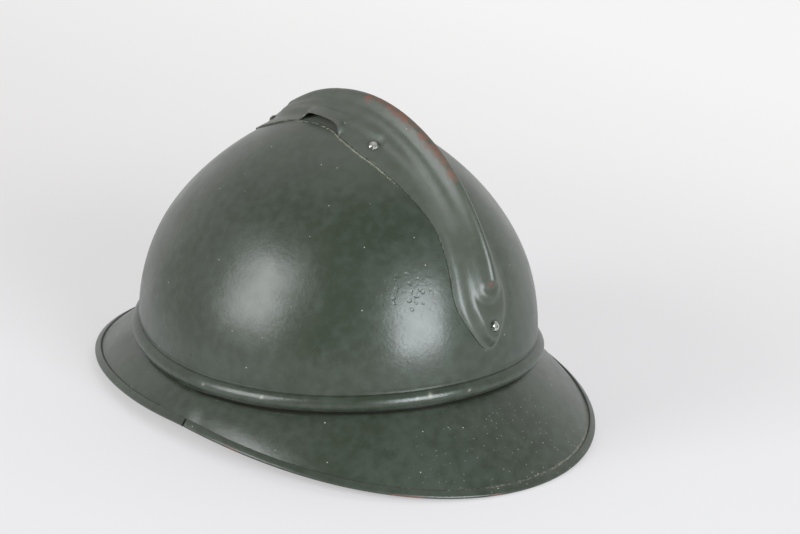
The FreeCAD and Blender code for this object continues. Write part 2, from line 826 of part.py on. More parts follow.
def make_liner_tab(azimuth):
    """Steel strip soldered to the bowl and hooked under the liner."""
    outward, sideways = section_frame(azimuth)
    base = oval_point(azimuth, 0, 0)
    foot_rise = solve(lambda rise: bowl_point(rise, azimuth).z - TAB_TOP, 0.0, 40.0)
    foot = bowl_point(foot_rise, azimuth)
    low = bowl_point(bead_root(azimuth) + 5.0, azimuth)
    wall_top = (foot - base).dot(outward) - SHEET - 0.35
    wall_low = (low - base).dot(outward) - SHEET - 0.35
    back = min(wall_top, wall_low)
    hook = -(BAND_INSET + BAND_THICKNESS) - 0.4
    outline = [
        (wall_top, TAB_TOP),
        (back - 0.3, TAB_TOP - 8.0),
        (back - 2.4, TAB_TOP - 14.0),
        (back - 2.4, TAB_BEND_LEVEL - TAB_SHEET),
        (hook - TAB_SHEET, TAB_BEND_LEVEL - TAB_SHEET),
        (hook - TAB_SHEET, TAB_BEND_LEVEL + TAB_HOOK_HEIGHT),
        (hook, TAB_BEND_LEVEL + TAB_HOOK_HEIGHT),
        (hook, TAB_BEND_LEVEL),
        (back - 2.4 - TAB_SHEET, TAB_BEND_LEVEL),
        (back - 2.4 - TAB_SHEET, TAB_TOP - 14.0),
        (back - 0.3 - TAB_SHEET, TAB_TOP - 8.0),
        (wall_top - TAB_SHEET, TAB_TOP),
    ]
    corners = []
    for out, level in outline:
        corners.append(base + outward * out - sideways * (TAB_WIDTH / 2) + Vector(0, 0, level))
    face = Part.Face(Part.makePolygon(corners + corners[:1]))
    return face.extrude(sideways * TAB_WIDTH)


def hinge_x(side):
    """Place of a bail hinge across the helmet."""
    return side * (BOWL_HALF_WIDTH - HINGE_INSET)


def make_lug(side):
    """Steel lug: a plate inside the brim flange with its lower edge rolled into a hinge barrel."""
    x = hinge_x(side)
    flange_face = BOWL_HALF_WIDTH + wall_offset(90.0) - SHEET - FLANGE_GAP - SHEET - LUG_GAP
    y0 = LUG_Y - LUG_LENGTH / 2
    plate_x = min(side * flange_face, side * (flange_face - LUG_PLATE))
    plate = Part.makeBox(
        LUG_PLATE, LUG_LENGTH, LUG_PLATE_TOP - HINGE_LEVEL, Vector(plate_x, y0, HINGE_LEVEL)
    )
    web_x = min(x, plate_x)
    web = Part.makeBox(
        abs(x - plate_x - (LUG_PLATE if side < 0 else 0)) + LUG_PLATE * (side > 0),
        LUG_LENGTH, LUG_PLATE, Vector(web_x, y0, HINGE_LEVEL + 0.8)
    )
    barrel = Part.makeCylinder(LUG_BARREL_RADIUS, LUG_LENGTH, Vector(x, y0, HINGE_LEVEL), Vector(0, 1, 0))
    bore = Part.makeCylinder(
        BAIL_WIRE_RADIUS + HINGE_CLEARANCE, LUG_LENGTH + 2, Vector(x, y0 - 1, HINGE_LEVEL), Vector(0, 1, 0)
    )
    return plate.fuse([web, barrel]).cut(bore).removeSplitter()


def make_bail(side):
    """Closed wire loop that carries the chin strap, hanging from its hinge bar."""
    x = hinge_x(side)
    half = BAIL_WIDTH / 2
    top = HINGE_LEVEL
    bottom = HINGE_LEVEL - BAIL_DROP
    r = BAIL_CORNER
    k = r * (1 - math.sqrt(0.5))

    def at(y, z):
        return Vector(x, LUG_Y + y, z)

    path = Part.Wire([
        line(at(0, top), at(half - r, top)),
        arc(at(half - r, top), at(half - k, top - k), at(half, top - r)),
        line(at(half, top - r), at(half, bottom + r)),
        arc(at(half, bottom + r), at(half - k, bottom + k), at(half - r, bottom)),
        line(at(half - r, bottom), at(r - half, bottom)),
        arc(at(r - half, bottom), at(k - half, bottom + k), at(-half, bottom + r)),
        line(at(-half, bottom + r), at(-half, top - r)),
        arc(at(-half, top - r), at(k - half, top - k), at(r - half, top)),
        line(at(r - half, top), at(0, top)),
    ])
    circle = Part.Wire(Part.Circle(at(0, top), Vector(0, 1, 0), BAIL_WIRE_RADIUS).toShape())
    return path.makePipeShell([circle], True, False)


def rest_placement(pieces):
    """Pitch that brings the front and rear hems to one level, and the shift to the base centre."""
    rear = oval_point(0, rim_reach(0), rim_level(0))
    front = oval_point(180, rim_reach(180), rim_level(180))
    pitch = math.degrees(math.atan2(front.z - rear.z, rear.y - front.y))
    tilt = Placement(Vector(0, 0, 0), Rotation(Vector(1, 0, 0), pitch))
    low_y, high_y, low_z = 1e9, -1e9, 1e9
    for piece in pieces:
        tilted = piece.copy()
        tilted.Placement = tilt.multiply(piece.Placement)
        box = tilted.optimalBoundingBox(False, False)
        low_y = min(low_y, box.YMin)
        high_y = max(high_y, box.YMax)
        low_z = min(low_z, box.ZMin)
    shift = Vector(0, -(low_y + high_y) / 2, -low_z - REST_FLAT_DEPTH)
    print("rest pitch", round(pitch, 4), "shift", [round(v, 4) for v in shift])
    return Placement(shift, Rotation(Vector(1, 0, 0), pitch))


def all_nodes():
    """Every piece of the helmet by name, in the level frame."""
    bowl = make_bowl()
    comb = make_comb()
    frames = {name: rivet_frame(seat, comb) for name, seat in RIVET_SEATS.items()}
    for frame in frames.values():
        hole = rivet_hole(*frame)
        bowl = bowl.cut(hole)
        comb = comb.cut(hole)
    nodes = {
        "bowl": bowl,
        "front_visor": make_front_visor(),
        "rear_neck_guard": make_rear_guard(),
        "comb": comb,
        "felt_band": make_felt_band(),
        "head_band": make_head_band(),
    }
    for name, frame in frames.items():
        nodes[name] = make_rivet(*frame)
    for name, azimuth in SPACER_AZIMUTHS.items():
        nodes[name] = make_spacer(azimuth)
    for name, azimuth in TAB_AZIMUTHS.items():
        nodes[name] = make_liner_tab(azimuth)
    for number in range(TONGUE_COUNT):
        nodes["crown_tongue_%d" % (number + 1)] = make_tongue(number)
    for name, side in (("left", 1), ("right", -1)):
        nodes[name + "_bail_lug"] = make_lug(side)
        nodes[name + "_bail"] = make_bail(side)
    return nodes


os.makedirs("parts", exist_ok=True)
NODES = all_nodes()
REST = rest_placement([NODES["front_visor"], NODES["rear_neck_guard"]])
FLOOR_BLOCK = Part.makeBox(600, 600, 20, Vector(-300, -300, -20))
for name, shape in NODES.items():
    placed = shape.copy()
    placed.Placement = REST.multiply(shape.Placement)
    if name in ("front_visor", "rear_neck_guard"):
        placed = placed.cut(FLOOR_BLOCK)
    print(name, "valid", placed.isValid(), "solids", len(placed.Solids), "mm3", round(placed.Volume, 1))
    placed.exportStep("parts/%s.step" % name)
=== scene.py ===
import math

import bmesh
import bpy
import numpy as np
from bpy.props import FloatProperty, FloatVectorProperty, IntProperty, PointerProperty
from mathutils import Matrix, Vector
from mathutils.geometry import delaunay_2d_cdt


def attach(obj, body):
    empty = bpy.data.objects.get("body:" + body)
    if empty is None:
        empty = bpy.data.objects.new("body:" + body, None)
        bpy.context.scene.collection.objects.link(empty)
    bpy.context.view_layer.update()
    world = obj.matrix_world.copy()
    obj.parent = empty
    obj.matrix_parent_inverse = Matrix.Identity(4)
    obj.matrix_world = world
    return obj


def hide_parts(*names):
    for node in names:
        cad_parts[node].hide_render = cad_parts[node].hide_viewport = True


bl_info = {
    "name": "Combed Steel Helmet",
    "version": (1, 0, 0),
    "blender": (4, 5, 0),
    "location": "3D View > Sidebar > Helmet",
    "description": "Builds the shell, comb, liner and studio of an early steel combat helmet",
    "category": "Add Mesh",
}

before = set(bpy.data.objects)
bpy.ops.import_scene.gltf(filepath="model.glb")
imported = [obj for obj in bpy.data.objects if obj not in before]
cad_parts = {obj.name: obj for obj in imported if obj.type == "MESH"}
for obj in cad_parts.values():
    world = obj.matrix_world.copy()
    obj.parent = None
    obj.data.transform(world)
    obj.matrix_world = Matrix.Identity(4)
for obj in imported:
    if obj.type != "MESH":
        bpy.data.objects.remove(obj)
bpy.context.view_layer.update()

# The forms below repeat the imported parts' own measures, in millimetres and degrees.
SHEET = 0.7
BOWL_AXES = (97.0, 109.8, 127.8)
PROFILE_TERMS = (-0.0078, 0.0246, 0.0067)
REAR_FULLNESS = 0.062
VENT_AXES = (8.0, 24.0)
BEAD_HEIGHT = 8.5
BEAD_REACH = 3.5
BEAD_LIP_REACH = 1.0
JUNCTION_LEVEL = 5.2
JUNCTION_WAVE = 3.1
# Side, front and rear of the brim
BRIM_REACHES = (10.7, 32.0, 35.9)
BRIM_LEVELS = (-13.2, -15.2, -28.8)
FRONT_SWEEP = 2.42
REAR_SWEEP = 1.78
FLANGE_RISE = 11.0
FLANGE_GAP = 0.85
ROOT_RADIUS = 3.0
ROOT_DROP = 1.5
PLATE_CROWN = 1.1
HEM_WIDTH = 4.2
HEM_STEP = 1.2
SIDE_TRIM = 0.5
REAR_PLATE_END = 96.0
REAR_HEM_END = 85.2
FRONT_PLATE_END = 86.0
LAP_LIFT = 0.75
# Comb, along the middle of the bowl from the crown, rearwards positive
COMB_GAP = 0.15
COMB_TIP_DEPTH = 6.0
COMB_HALF_WIDTHS = (
    (-60, 8.0), (-54, 12.5), (-48, 16.0), (-41, 18.8), (-30, 20.0), (-12, 18.2), (2, 17.7),
    (13, 18.2), (24, 20.8), (40, 22.3), (52, 21.4), (66, 19.7), (80, 17.4), (90, 15.6),
    (99, 14.8), (110, 15.4), (124, 17.1), (133, 18.3), (140, 17.2), (148, 13.9), (157.5, 7.9),
)
RIDGE_HEIGHTS = (
    (-66, 4.2), (-45, 5.6), (-30, 7.4), (-15, 9.5), (5, 11.39), (32, 13.39), (60, 14.3),
    (80, 14.1), (100, 13.1), (120, 11.8), (131, 10.8), (164, 10.0),
)
SHOULDER_HALF_WIDTHS = (
    (-56, 1.0), (-50, 5.0), (-43, 9.0), (-34, 12.5), (-20, 14.2), (20, 14.8), (45, 14.2),
    (62, 13.0), (80, 12.2), (100, 12.0), (120, 13.4), (132, 14.6), (139, 14.4), (147, 12.0),
    (154, 8.6), (159, 4.5), (163, 0.5),
)
SHOULDER_HEIGHTS = (
    (-66, 2.2), (-36, 2.6), (5, 3.2), (60, 3.5), (100, 3.3), (131, 3.4), (150, 3.9), (164, 3.6),
)
SHOULDER_FLANK = 4.6
SHOULDER_ROUNDING = 1.2
# Rounding of the bends along the comb, and at its rear foot
BEND_ROUNDING = (0.9, 1.2)
# Station from which the rounding changes to that of the foot, and over what length
BEND_CHANGE = (84.0, 24.0)
# Chord over which the slope of the bowl is taken along the comb
COMB_CHORD = 11.0
# Upper steps of the comb: half width, width of the flank, front end, rear end, share of height
RIDGE_STEP = (5.0, 3.4, -34.5, 128.4, 0.63)
RIB_STEP = (8.8, 3.2, -34.0, 131.4, 0.37)
# Vent mouth: where it starts, is fully open and ends, and how the flange is flared up there
MOUTH_STATIONS = (-13.0, -4.0, 20.5)
MOUTH_LIFT = 4.3
MOUTH_ROOT = 0.45
MOUTH_SPREAD = 0.5
MOUTH_CLOSING = 2.2
MOUTH_FADE = 22.0
# Pressed seat of each rivet: station, distance from the middle and height over the bowl
RIVET_SEATS = {
    "comb_front_rivet": (-53.0, 0.0, 2.3),
    "comb_rear_rivet": (151.0, -0.6, 3.9),
    "comb_left_rivet": (41.7, 15.1, 0.95),
    "comb_right_rivet": (41.7, -15.1, 0.95),
}
SEAT_RADIUS = 3.4
SEAT_BLEND = 1.8
RIVET_RADIUS = 2.9
RIVET_HEIGHT = 1.9
RIVET_UPSET_RADIUS = 2.5
RIVET_UPSET_HEIGHT = 1.0
RIVET_SHANK_RADIUS = 1.4
RIVET_WOBBLE = 0.12
# Blistered patch of the enamel: centre on the bowl, and radius
BLISTER_PLACE = (37.0, 91.5, 61.5)
BLISTER_RADIUS = 15.0
# Pale nicks on the bead: turn, height over the junction line and radius
BEAD_NICKS = ((21.0, 6.4, 1.0), (24.5, 6.0, 0.6), (66.0, 5.8, 0.8), (9.0, 5.2, 0.5), (84.0, 5.2, 0.6))
# Turn up to which the rear plate shows under the bead, in degrees from the rear
REAR_PLATE_SHOWS = 91.0
# Scuffed part of the brim: middle and half width in degrees
SCUFF = (-4.0, 27.0)
# Rusted runs of the rim: middle and half width in degrees
RIM_RUST = ((31.0, 6.0), (-27.0, 3.0), (70.0, 2.5), (12.0, 2.0))
# Liner, inset from the oval of the bowl
FELT_INSET = 7.3
FELT_LEVELS = (3.7, 41.7)
BAND_INSET = 9.8
BAND_LEVELS = (2.0, 40.0)
BAND_LIP = 1.6
STITCH_ROWS = (2.4, 34.0)
TONGUE_COUNT = 7
TONGUE_INSET = 11.6
TONGUE_SPRING_LEVEL = 36.0
TONGUE_RISE = 56.0
TONGUE_SPAN = (-9.0, 70.0)
TONGUE_HALF_ANGLE = 24.9
TONGUE_TIP_WIDTH = 9.0
TONGUE_HOLE_RADIUS = 2.2
# Flat form of a tongue: half width before it narrows, and millimetres of length for a radian of rise
TONGUE_FLAT_HALF = 40.0
TONGUE_ARC_RADIUS = 92.0
TONGUE_MESH_SIZE = 2.6
# Attitude at rest on the brim: pitch about the side-to-side axis, then the shift
REST_PITCH = 2.644
REST_SHIFT = (0.0, -2.997, 21.9327)
# Middle of the view, right and up from a point 60 mm up the helmet's axis
VIEW_SHIFT = (31.7446, -15.8174)
FLOOR_RADIUS = 6.0
FLOOR_DROP = 0.0001
# Greatest angle between two faces that shade as one surface
SMOOTH_ANGLE = 38.0


def length_property(name, description, default, low, high):
    """Length property in metres."""
    return FloatProperty(
        name=name, description=description, default=default, min=low, max=high, unit="LENGTH",
        precision=5)


def colour_property(name, description, default):
    """Colour property with a linear default."""
    return FloatVectorProperty(
        name=name, description=description, default=default, size=3,
        subtype="COLOR", min=0.0, max=1.0)


class HelmetForm(bpy.types.PropertyGroup):
    """Small sizes of the shell and the liner."""

    dent_depth: length_property(
        "Dent depth", "Height of the slow waves left in the drawn sheet", 0.00012, 0.0, 0.0005)
    groove_depth: length_property(
        "Bead groove", "Depth of the scored line above the rolled bead", 0.00014, 0.0, 0.001)
    leather_thickness: length_property(
        "Leather", "Thickness of the head band and the tongues", 0.0013, 0.0005, 0.002)
    felt_thickness: length_property("Felt", "Thickness of the backing felt", 0.0021, 0.001, 0.0024)
    stitch_length: length_property(
        "Stitch length", "Length of one stitch of the waxed thread", 0.0034, 0.001, 0.008)
    thread_width: length_property("Thread", "Width of the waxed thread", 0.0007, 0.0003, 0.0015)
    turns: IntProperty(
        name="Facets round", description="Number of mesh divisions round the shell",
        default=480, min=96, max=960)


def srgb(code):
    """Linear colour of an sRGB hex code."""
    channels = [int(code[i:i + 2], 16) / 255 for i in (1, 3, 5)]
    return tuple(c / 12.92 if c <= 0.04045 else ((c + 0.055) / 1.055) ** 2.4 for c in channels)


class HelmetFinish(bpy.types.PropertyGroup):
    """Colours of the finishes, with the painted shade and the painted light laid over the enamel."""

    enamel_deep: colour_property("Enamel, deep", "Darker tone of the olive enamel", srgb("#293025"))
    enamel_pale: colour_property("Enamel, pale", "Lighter tone of the olive enamel", srgb("#353C33"))
    rust: colour_property("Rust", "Rust where the enamel is worn through", srgb("#6B4234"))
    # Partly settled dust, partly painted light: a paler film painted over the top of the crown, the comb
    # and the bowl under the comb's edge
    film_and_painted_light: colour_property("Film", "Thin film of settled dust", srgb("#62655D"))
    # Painted shade: near-black colour painted into the shadowed gap under the bead, on the rear plate's
    # root and the bead's lower lip
    gap_shade: colour_property("Grime", "Brown dirt under the bead and at the brim's root", srgb("#1B1914"))
    primer: colour_property("Undercoat", "Pale undercoat in nicks and scratches", srgb("#BDBAA6"))
    lint: colour_property("Lint", "Specks of lint and dust on the enamel", srgb("#B9B8AE"))
    dust: colour_property("Dust", "Dust and dried wax in the seams", srgb("#9A9788"))
    steel: colour_property("Bare steel", "Bright steel of the knocked rivet heads", srgb("#C3C3BC"))
    wire: colour_property("Wire", "Drawn steel wire of the strap loops", srgb("#7F7D76"))
    aluminium: colour_property("Aluminium", "Rolled aluminium strip", srgb("#C6C8C9"))
    leather: colour_property("Leather", "Tanned leather of the head band", srgb("#5B3C26"))
    leather_worn: colour_property("Leather, worn", "Leather polished by wear", srgb("#7B5638"))
    felt: colour_property("Felt", "Wool felt behind the leather", srgb("#565752"))
    thread: colour_property("Thread", "Waxed linen thread", srgb("#A89A7C"))


class HelmetStudio(bpy.types.PropertyGroup):
    """Floor, lamps and camera."""

    floor_colour: colour_property("Floor", "Colour of the pale floor", srgb("#E9E8EA"))
    wall_colour: colour_property("Surroundings", "Colour of the pale surroundings", srgb("#F1F0F0"))
    # Painted fall of light across the backdrop: its glow runs from a shaded tone at the lower left to a
    # lit tone at the upper right
    backdrop_shaded_tone: colour_property("Backdrop, low", "Backdrop at the lower left", srgb("#DAD7D7"))
    backdrop_lit_tone: colour_property("Backdrop, high", "Backdrop at the upper right", srgb("#F5F5F5"))
    surround_strength: FloatProperty(
        name="Wall", description="Brightness of the wall beyond the helmet", default=1.05, min=0.0)
    room_strength: FloatProperty(
        name="Room", description="Brightness of the room behind the camera", default=0.28, min=0.0)
    left_power: FloatProperty(
        name="Left lamp", description="Power of the lamp on the left", default=20.0,
        min=0.0, unit="POWER")
    right_power: FloatProperty(
        name="Right lamp", description="Power of the lamp beside the camera", default=36.0,
        min=0.0, unit="POWER")
    azimuth: FloatProperty(
        name="Azimuth", description="Turn of the camera round the helmet",
        default=math.radians(135.5073), subtype="ANGLE")
    elevation: FloatProperty(
        name="Elevation", description="Height angle of the camera",
        default=math.radians(19.0358), subtype="ANGLE")
    roll: FloatProperty(
        name="Roll", description="Lean of the camera", default=math.radians(1.5939),
        subtype="ANGLE")
    distance: FloatProperty(
        name="Distance", description="Camera to the middle of the helmet", default=1.274,
        min=0.3, unit="LENGTH")
    lens: FloatProperty(
        name="Lens", description="Focal length on a 36 mm sensor", default=111.106,
        min=10.0, subtype="DISTANCE_CAMERA")


def smooth_step(value):
    """Rise from 0 to 1 with level ends."""
    value = np.clip(value, 0.0, 1.0)
    return value * value * (3.0 - 2.0 * value)


def bell(value, middle, width):
    """Soft band of height 1 about a middle value."""
    return np.exp(-((value - middle) / width) ** 2)


def degrees_from_rear(turn):
    """Turn in degrees between -180 and 180, with 0 at the rear."""
    return np.degrees((turn + np.pi) % (2 * np.pi) - np.pi)


def at_rear_plate(turn):
    """1 where the rear plate meets the bead and 0 in front of the laps."""
    return smooth_step((REAR_PLATE_SHOWS - np.abs(degrees_from_rear(turn))) / 6.0)


def through(table, station):
    """Read a smooth curve through the stations and values of a table."""
    x, y = np.array(table, float).T
    slope = np.gradient(y, x)
    slope[1:-1] = (y[2:] - y[:-2]) / (x[2:] - x[:-2])
    s = np.clip(station, x[0], x[-1])
    i = np.clip(np.searchsorted(x, s, side="right") - 1, 0, len(x) - 2)
    span = x[i + 1] - x[i]
    f = (s - x[i]) / span
    return (
        y[i] * (1 + 2 * f) * (1 - f) ** 2 + y[i + 1] * f * f * (3 - 2 * f)
        + slope[i] * span * f * (1 - f) ** 2 - slope[i + 1] * span * f * f * (1 - f)
    )


def solve(function, low, high):
    """Find where a rising or falling function changes sign, element by element."""
    low_positive = function(low) > 0
    for _ in range(40):
        middle = (low + high) / 2
        same = (function(middle) > 0) == low_positive
        low = np.where(same, middle, low)
        high = np.where(same, high, middle)
    return (low + high) / 2


def profile_radius(rise, turn):
    """Polar radius of the bowl as a share of its semi-axes; turn 0 is the rear."""
    radius = 1.0
    for order, term in enumerate(PROFILE_TERMS, start=1):
        radius = radius + term * np.sin(2 * order * rise)
    rearward = np.maximum(np.cos(turn), 0.0) ** 3
    return radius + REAR_FULLNESS * 2.6 * np.sin(rise) ** 2 * np.cos(rise) * rearward


def bowl_point(rise, turn):
    """Point on the outside of the bowl."""
    radius = profile_radius(rise, turn)
    shares = (np.cos(rise) * np.sin(turn), np.cos(rise) * np.cos(turn), np.sin(rise))
    return np.stack([axis * radius * share for axis, share in zip(BOWL_AXES, shares)], -1)


def unit(vectors):
    """Vectors at length one."""
    return vectors / np.maximum(np.linalg.norm(vectors, axis=-1, keepdims=True), 1e-12)


def bowl_excess(points):
    """How far points lie outside the bowl, as a share of the profile radius."""
    x, y, z = (points / np.array(BOWL_AXES)).T
    flat = np.hypot(x, y)
    return (np.hypot(flat, z) - profile_radius(np.arctan2(z, flat), np.arctan2(x, y))).T


def bowl_normal(points):
    """Outward unit normal of the bowl."""
    step = 0.2
    slopes = [
        bowl_excess(points + step * axis) - bowl_excess(points - step * axis) for axis in np.eye(3)
    ]
    return unit(np.stack(slopes, -1))


def junction_level(turn):
    """Height of the line where the brim leaves the bead."""
    return JUNCTION_LEVEL + JUNCTION_WAVE * np.cos(2 * turn)


def bead_root(turn):
    """Rise angle on the bowl at which the bead begins."""
    top = junction_level(turn) + BEAD_HEIGHT
    return solve(lambda rise: bowl_point(rise, turn)[..., 2] - top, 0 * turn, 0 * turn + 0.5)


def oval_point(turn, offset, level):
    """Point at an outward offset from the oval of the bowl."""
    turn, offset, level = np.broadcast_arrays(turn, offset, level)
    width, length = BOWL_AXES[:2]
    return np.stack(
        [(width + offset) * np.sin(turn), (length + offset) * np.cos(turn), level], -1)


def wall_offset(turn):
    """Outward offset of the bowl wall at the root of the bead."""
    root = bowl_point(bead_root(turn), turn)
    plain = oval_point(turn, 0.0, 0.0)
    return np.hypot(root[..., 0], root[..., 1]) - np.linalg.norm(plain, axis=-1)


def circle_arc(start, middle, end, count):
    """Points along the circle through three points of a plane, one arc for each row."""
    a, b = middle - start, end - start
    cross = a[..., 0] * b[..., 1] - a[..., 1] * b[..., 0]
    aa, bb = (a ** 2).sum(-1), (b ** 2).sum(-1)
    centre = start + np.stack(
        [b[..., 1] * aa - a[..., 1] * bb, a[..., 0] * bb - b[..., 0] * aa], -1
    ) / (2 * cross[..., None])
    radius = np.linalg.norm(start - centre, axis=-1)
    angles = []
    for point in (start, middle, end):
        arm = point - centre
        angles.append(np.arctan2(arm[..., 1], arm[..., 0]))
    sense = np.sign(cross)
    first = np.mod((angles[1] - angles[0]) * sense, 2 * np.pi)
    whole = first + np.mod((angles[2] - angles[1]) * sense, 2 * np.pi)
    share = np.linspace(0.0, 1.0, count)
    angle = angles[0][:, None] + (sense * whole)[:, None] * share
    return centre[:, None] + radius[:, None, None] * np.stack([np.cos(angle), np.sin(angle)], -1)


def brim_level(turn, values, offset=0.0):
    """Blend of a side, a front and a rear value round the brim."""
    side, front, rear = values
    along = np.cos(turn)
    rear_share = np.maximum(along, 0.0) ** REAR_SWEEP
    front_share = np.maximum(-along, 0.0) ** FRONT_SWEEP
    return offset + side + (rear - side) * rear_share + (front - side) * front_share


def step_share(step, station, across):
    """Share of height that an upper comb step adds: full inside, falling over its flank."""
    half_width, flank, front_end, rear_end, share = step
    beyond = np.maximum(np.maximum(station - rear_end, front_end - station), 0.0)
    return share * smooth_step((half_width - np.hypot(across, beyond)) / flank)


def mouth_lift(station, across):
    """How far the flange is flared up at the vent mouths."""
    start, full, end = MOUTH_STATIONS
    side = np.abs(across) / through(COMB_HALF_WIDTHS, station)
    closing = MOUTH_CLOSING + MOUTH_FADE * np.maximum(1.0 - side, 0.0)
    opened = smooth_step((station - start) / (full - start))
    closed = smooth_step((station - end) / closing + 0.5)
    return MOUTH_LIFT * opened * (1.0 - closed) * smooth_step((side - MOUTH_ROOT) / MOUTH_SPREAD)


def comb_height(station, across):
    """Height of the outside of the comb over the bowl, its bends rounded by the pressing."""
    middle, foot = BEND_ROUNDING
    reach = middle + (foot - middle) * smooth_step((station - BEND_CHANGE[0]) / BEND_CHANGE[1])
    near = comb_form(station, across - reach) + comb_form(station, across + reach)
    far = comb_form(station, across - 2 * reach) + comb_form(station, across + 2 * reach)
    return (6 * comb_form(station, across) + 4 * near + far) / 16


def comb_form(station, across):
    """Height of the outside of the comb before its bends are rounded."""
    flange = COMB_GAP + SHEET
    shoulder = through(SHOULDER_HEIGHTS, station)
    above = through(RIDGE_HEIGHTS, station) - flange - shoulder
    inside = through(SHOULDER_HALF_WIDTHS, station) - np.hypot(across, SHOULDER_ROUNDING)
    height = flange + shoulder * smooth_step(inside / SHOULDER_FLANK)
    for step in (RIB_STEP, RIDGE_STEP):
        height = height + above * step_share(step, station, across)
    height = height + mouth_lift(station, across)
    for seat_station, seat_across, seat_height in RIVET_SEATS.values():
        distance = np.hypot(station - seat_station, across - seat_across)
        pressed = 1.0 - smooth_step((distance - SEAT_RADIUS) / SEAT_BLEND)
        height = height + (seat_height - height) * pressed
    return height


def midline():
    """Stations along the middle of the bowl with their points, from front to rear."""
    rise = np.radians(np.linspace(90.0, 0.0, 721))
    rear = bowl_point(rise, 0.0 * rise)
    front = bowl_point(rise, 0.0 * rise + np.pi)
    runs = []
    for points in (front, rear):
        lengths = np.linalg.norm(np.diff(points, axis=0), axis=1)
        runs.append(np.concatenate([[0.0], np.cumsum(lengths)]))
    stations = np.concatenate([-runs[0][:0:-1], runs[1]])
    points = np.concatenate([front[:0:-1], rear])
    return stations, points[:, 1], points[:, 2]


MIDLINE = midline()


def midline_point(station):
    """Point on the middle of the bowl at a station."""
    stations, y, z = MIDLINE
    return np.stack([0 * station, np.interp(station, stations, y), np.interp(station, stations, z)], -1)


def comb_point(station, across):
    """Point on the outside of the comb."""
    station, across = np.broadcast_arrays(station, across)
    along = midline_point(station + COMB_CHORD) - midline_point(station - COMB_CHORD)
    outward = unit(np.stack([0 * station, -along[..., 2], along[..., 1]], -1))
    base = midline_point(station) + np.stack([across, 0 * across, 0 * across], -1)
    foot = solve(
        lambda n: bowl_excess(base + outward * n[..., None]), 0 * station - 40.0, 0 * station + 12.0)
    return base + outward * (foot + comb_height(station, across))[..., None]


def comb_place(points):
    """Station and distance outside the comb's edge of points on the bowl near the comb."""
    stations = np.arange(-80.0, 166.0, 1.0)
    base = midline_point(stations)
    along = unit(midline_point(stations + COMB_CHORD) - midline_point(stations - COMB_CHORD))
    apart = points[:, None, :] - base
    off_plane = np.abs((apart * along).sum(-1))
    off_plane[np.linalg.norm(apart, axis=-1) > 60.0] = np.inf
    nearest = off_plane.argmin(1)
    station = stations[nearest]
    first, last = COMB_HALF_WIDTHS[0], COMB_HALF_WIDTHS[-1]
    width = through(COMB_HALF_WIDTHS, station)
    for end, sign in ((first, -1), (last, 1)):
        past = sign * (station - end[0])
        tip = end[1] * np.sqrt(np.clip(1.0 - past / COMB_TIP_DEPTH, 0.0, 1.0))
        width = np.where(past > 0, tip - np.maximum(past - COMB_TIP_DEPTH, 0.0), width)
    return station, np.abs(points[:, 0]) - width


def to_rest(points):
    """Level millimetres to the resting attitude in metres."""
    pitch = math.radians(REST_PITCH)
    turn = np.array([
        [1, 0, 0], [0, math.cos(pitch), -math.sin(pitch)], [0, math.sin(pitch), math.cos(pitch)]])
    return (np.asarray(points) @ turn.T + REST_SHIFT) / 1000


def grid_normal(grid, closed_rows=False):
    """Outward unit normals of a grid of points."""
    if closed_rows:
        along = np.roll(grid, -1, 0) - np.roll(grid, 1, 0)
    else:
        along = np.gradient(grid, axis=0)
    normal = unit(np.cross(along, np.gradient(grid, axis=1)))
    middle = tuple(count // 2 for count in grid.shape[:2])
    return normal if normal[middle] @ grid[middle] > 0 else -normal


def waves(points, size, seed):
    """Slow smooth waves over space between -1 and 1, of a size in millimetres."""
    random = np.random.default_rng(seed)
    total = np.zeros(points.shape[:-1])
    for _ in range(9):
        direction = unit(random.normal(size=3))
        pitch = size * random.uniform(0.7, 1.6)
        total += np.sin(points @ direction * 2 * np.pi / pitch + random.uniform(0, 2 * np.pi))
    return total / 4.5


def finish_piece(mesh, slot, material, *nodes):
    """Put a mesh into the scene as a piece that rides on the helmet and stands for its nodes."""
    mesh.set_sharp_from_angle(angle=math.radians(SMOOTH_ANGLE))
    piece = bpy.data.objects.new(mesh.name, mesh)
    bpy.context.scene.collection.objects.link(piece)
    mesh.materials.append(material)
    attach(piece, "helmet")
    if nodes:
        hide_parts(*nodes)
    return piece


def mesh_from(name, points, faces, masks=None):
    """Mesh with smooth faces, outward normals and a value for each point and mask."""
    mesh = bpy.data.meshes.new(name)
    mesh.from_pydata(points.tolist(), [], faces)
    for mask, values in (masks or {}).items():
        attribute = mesh.attributes.new(mask, "FLOAT", "POINT")
        attribute.data.foreach_set("value", np.asarray(values, np.float32).ravel())
    work = bmesh.new()
    work.from_mesh(mesh)
    bmesh.ops.remove_doubles(work, verts=work.verts, dist=2e-6)
    bmesh.ops.dissolve_degenerate(work, dist=1e-7, edges=work.edges)
    loose = [v for v in work.verts if not v.link_faces]
    bmesh.ops.delete(work, geom=loose, context="VERTS")
    bmesh.ops.recalc_face_normals(work, faces=work.faces)
    work.to_mesh(mesh)
    work.free()
    mesh.polygons.foreach_set("use_smooth", np.ones(len(mesh.polygons), bool))
    return mesh


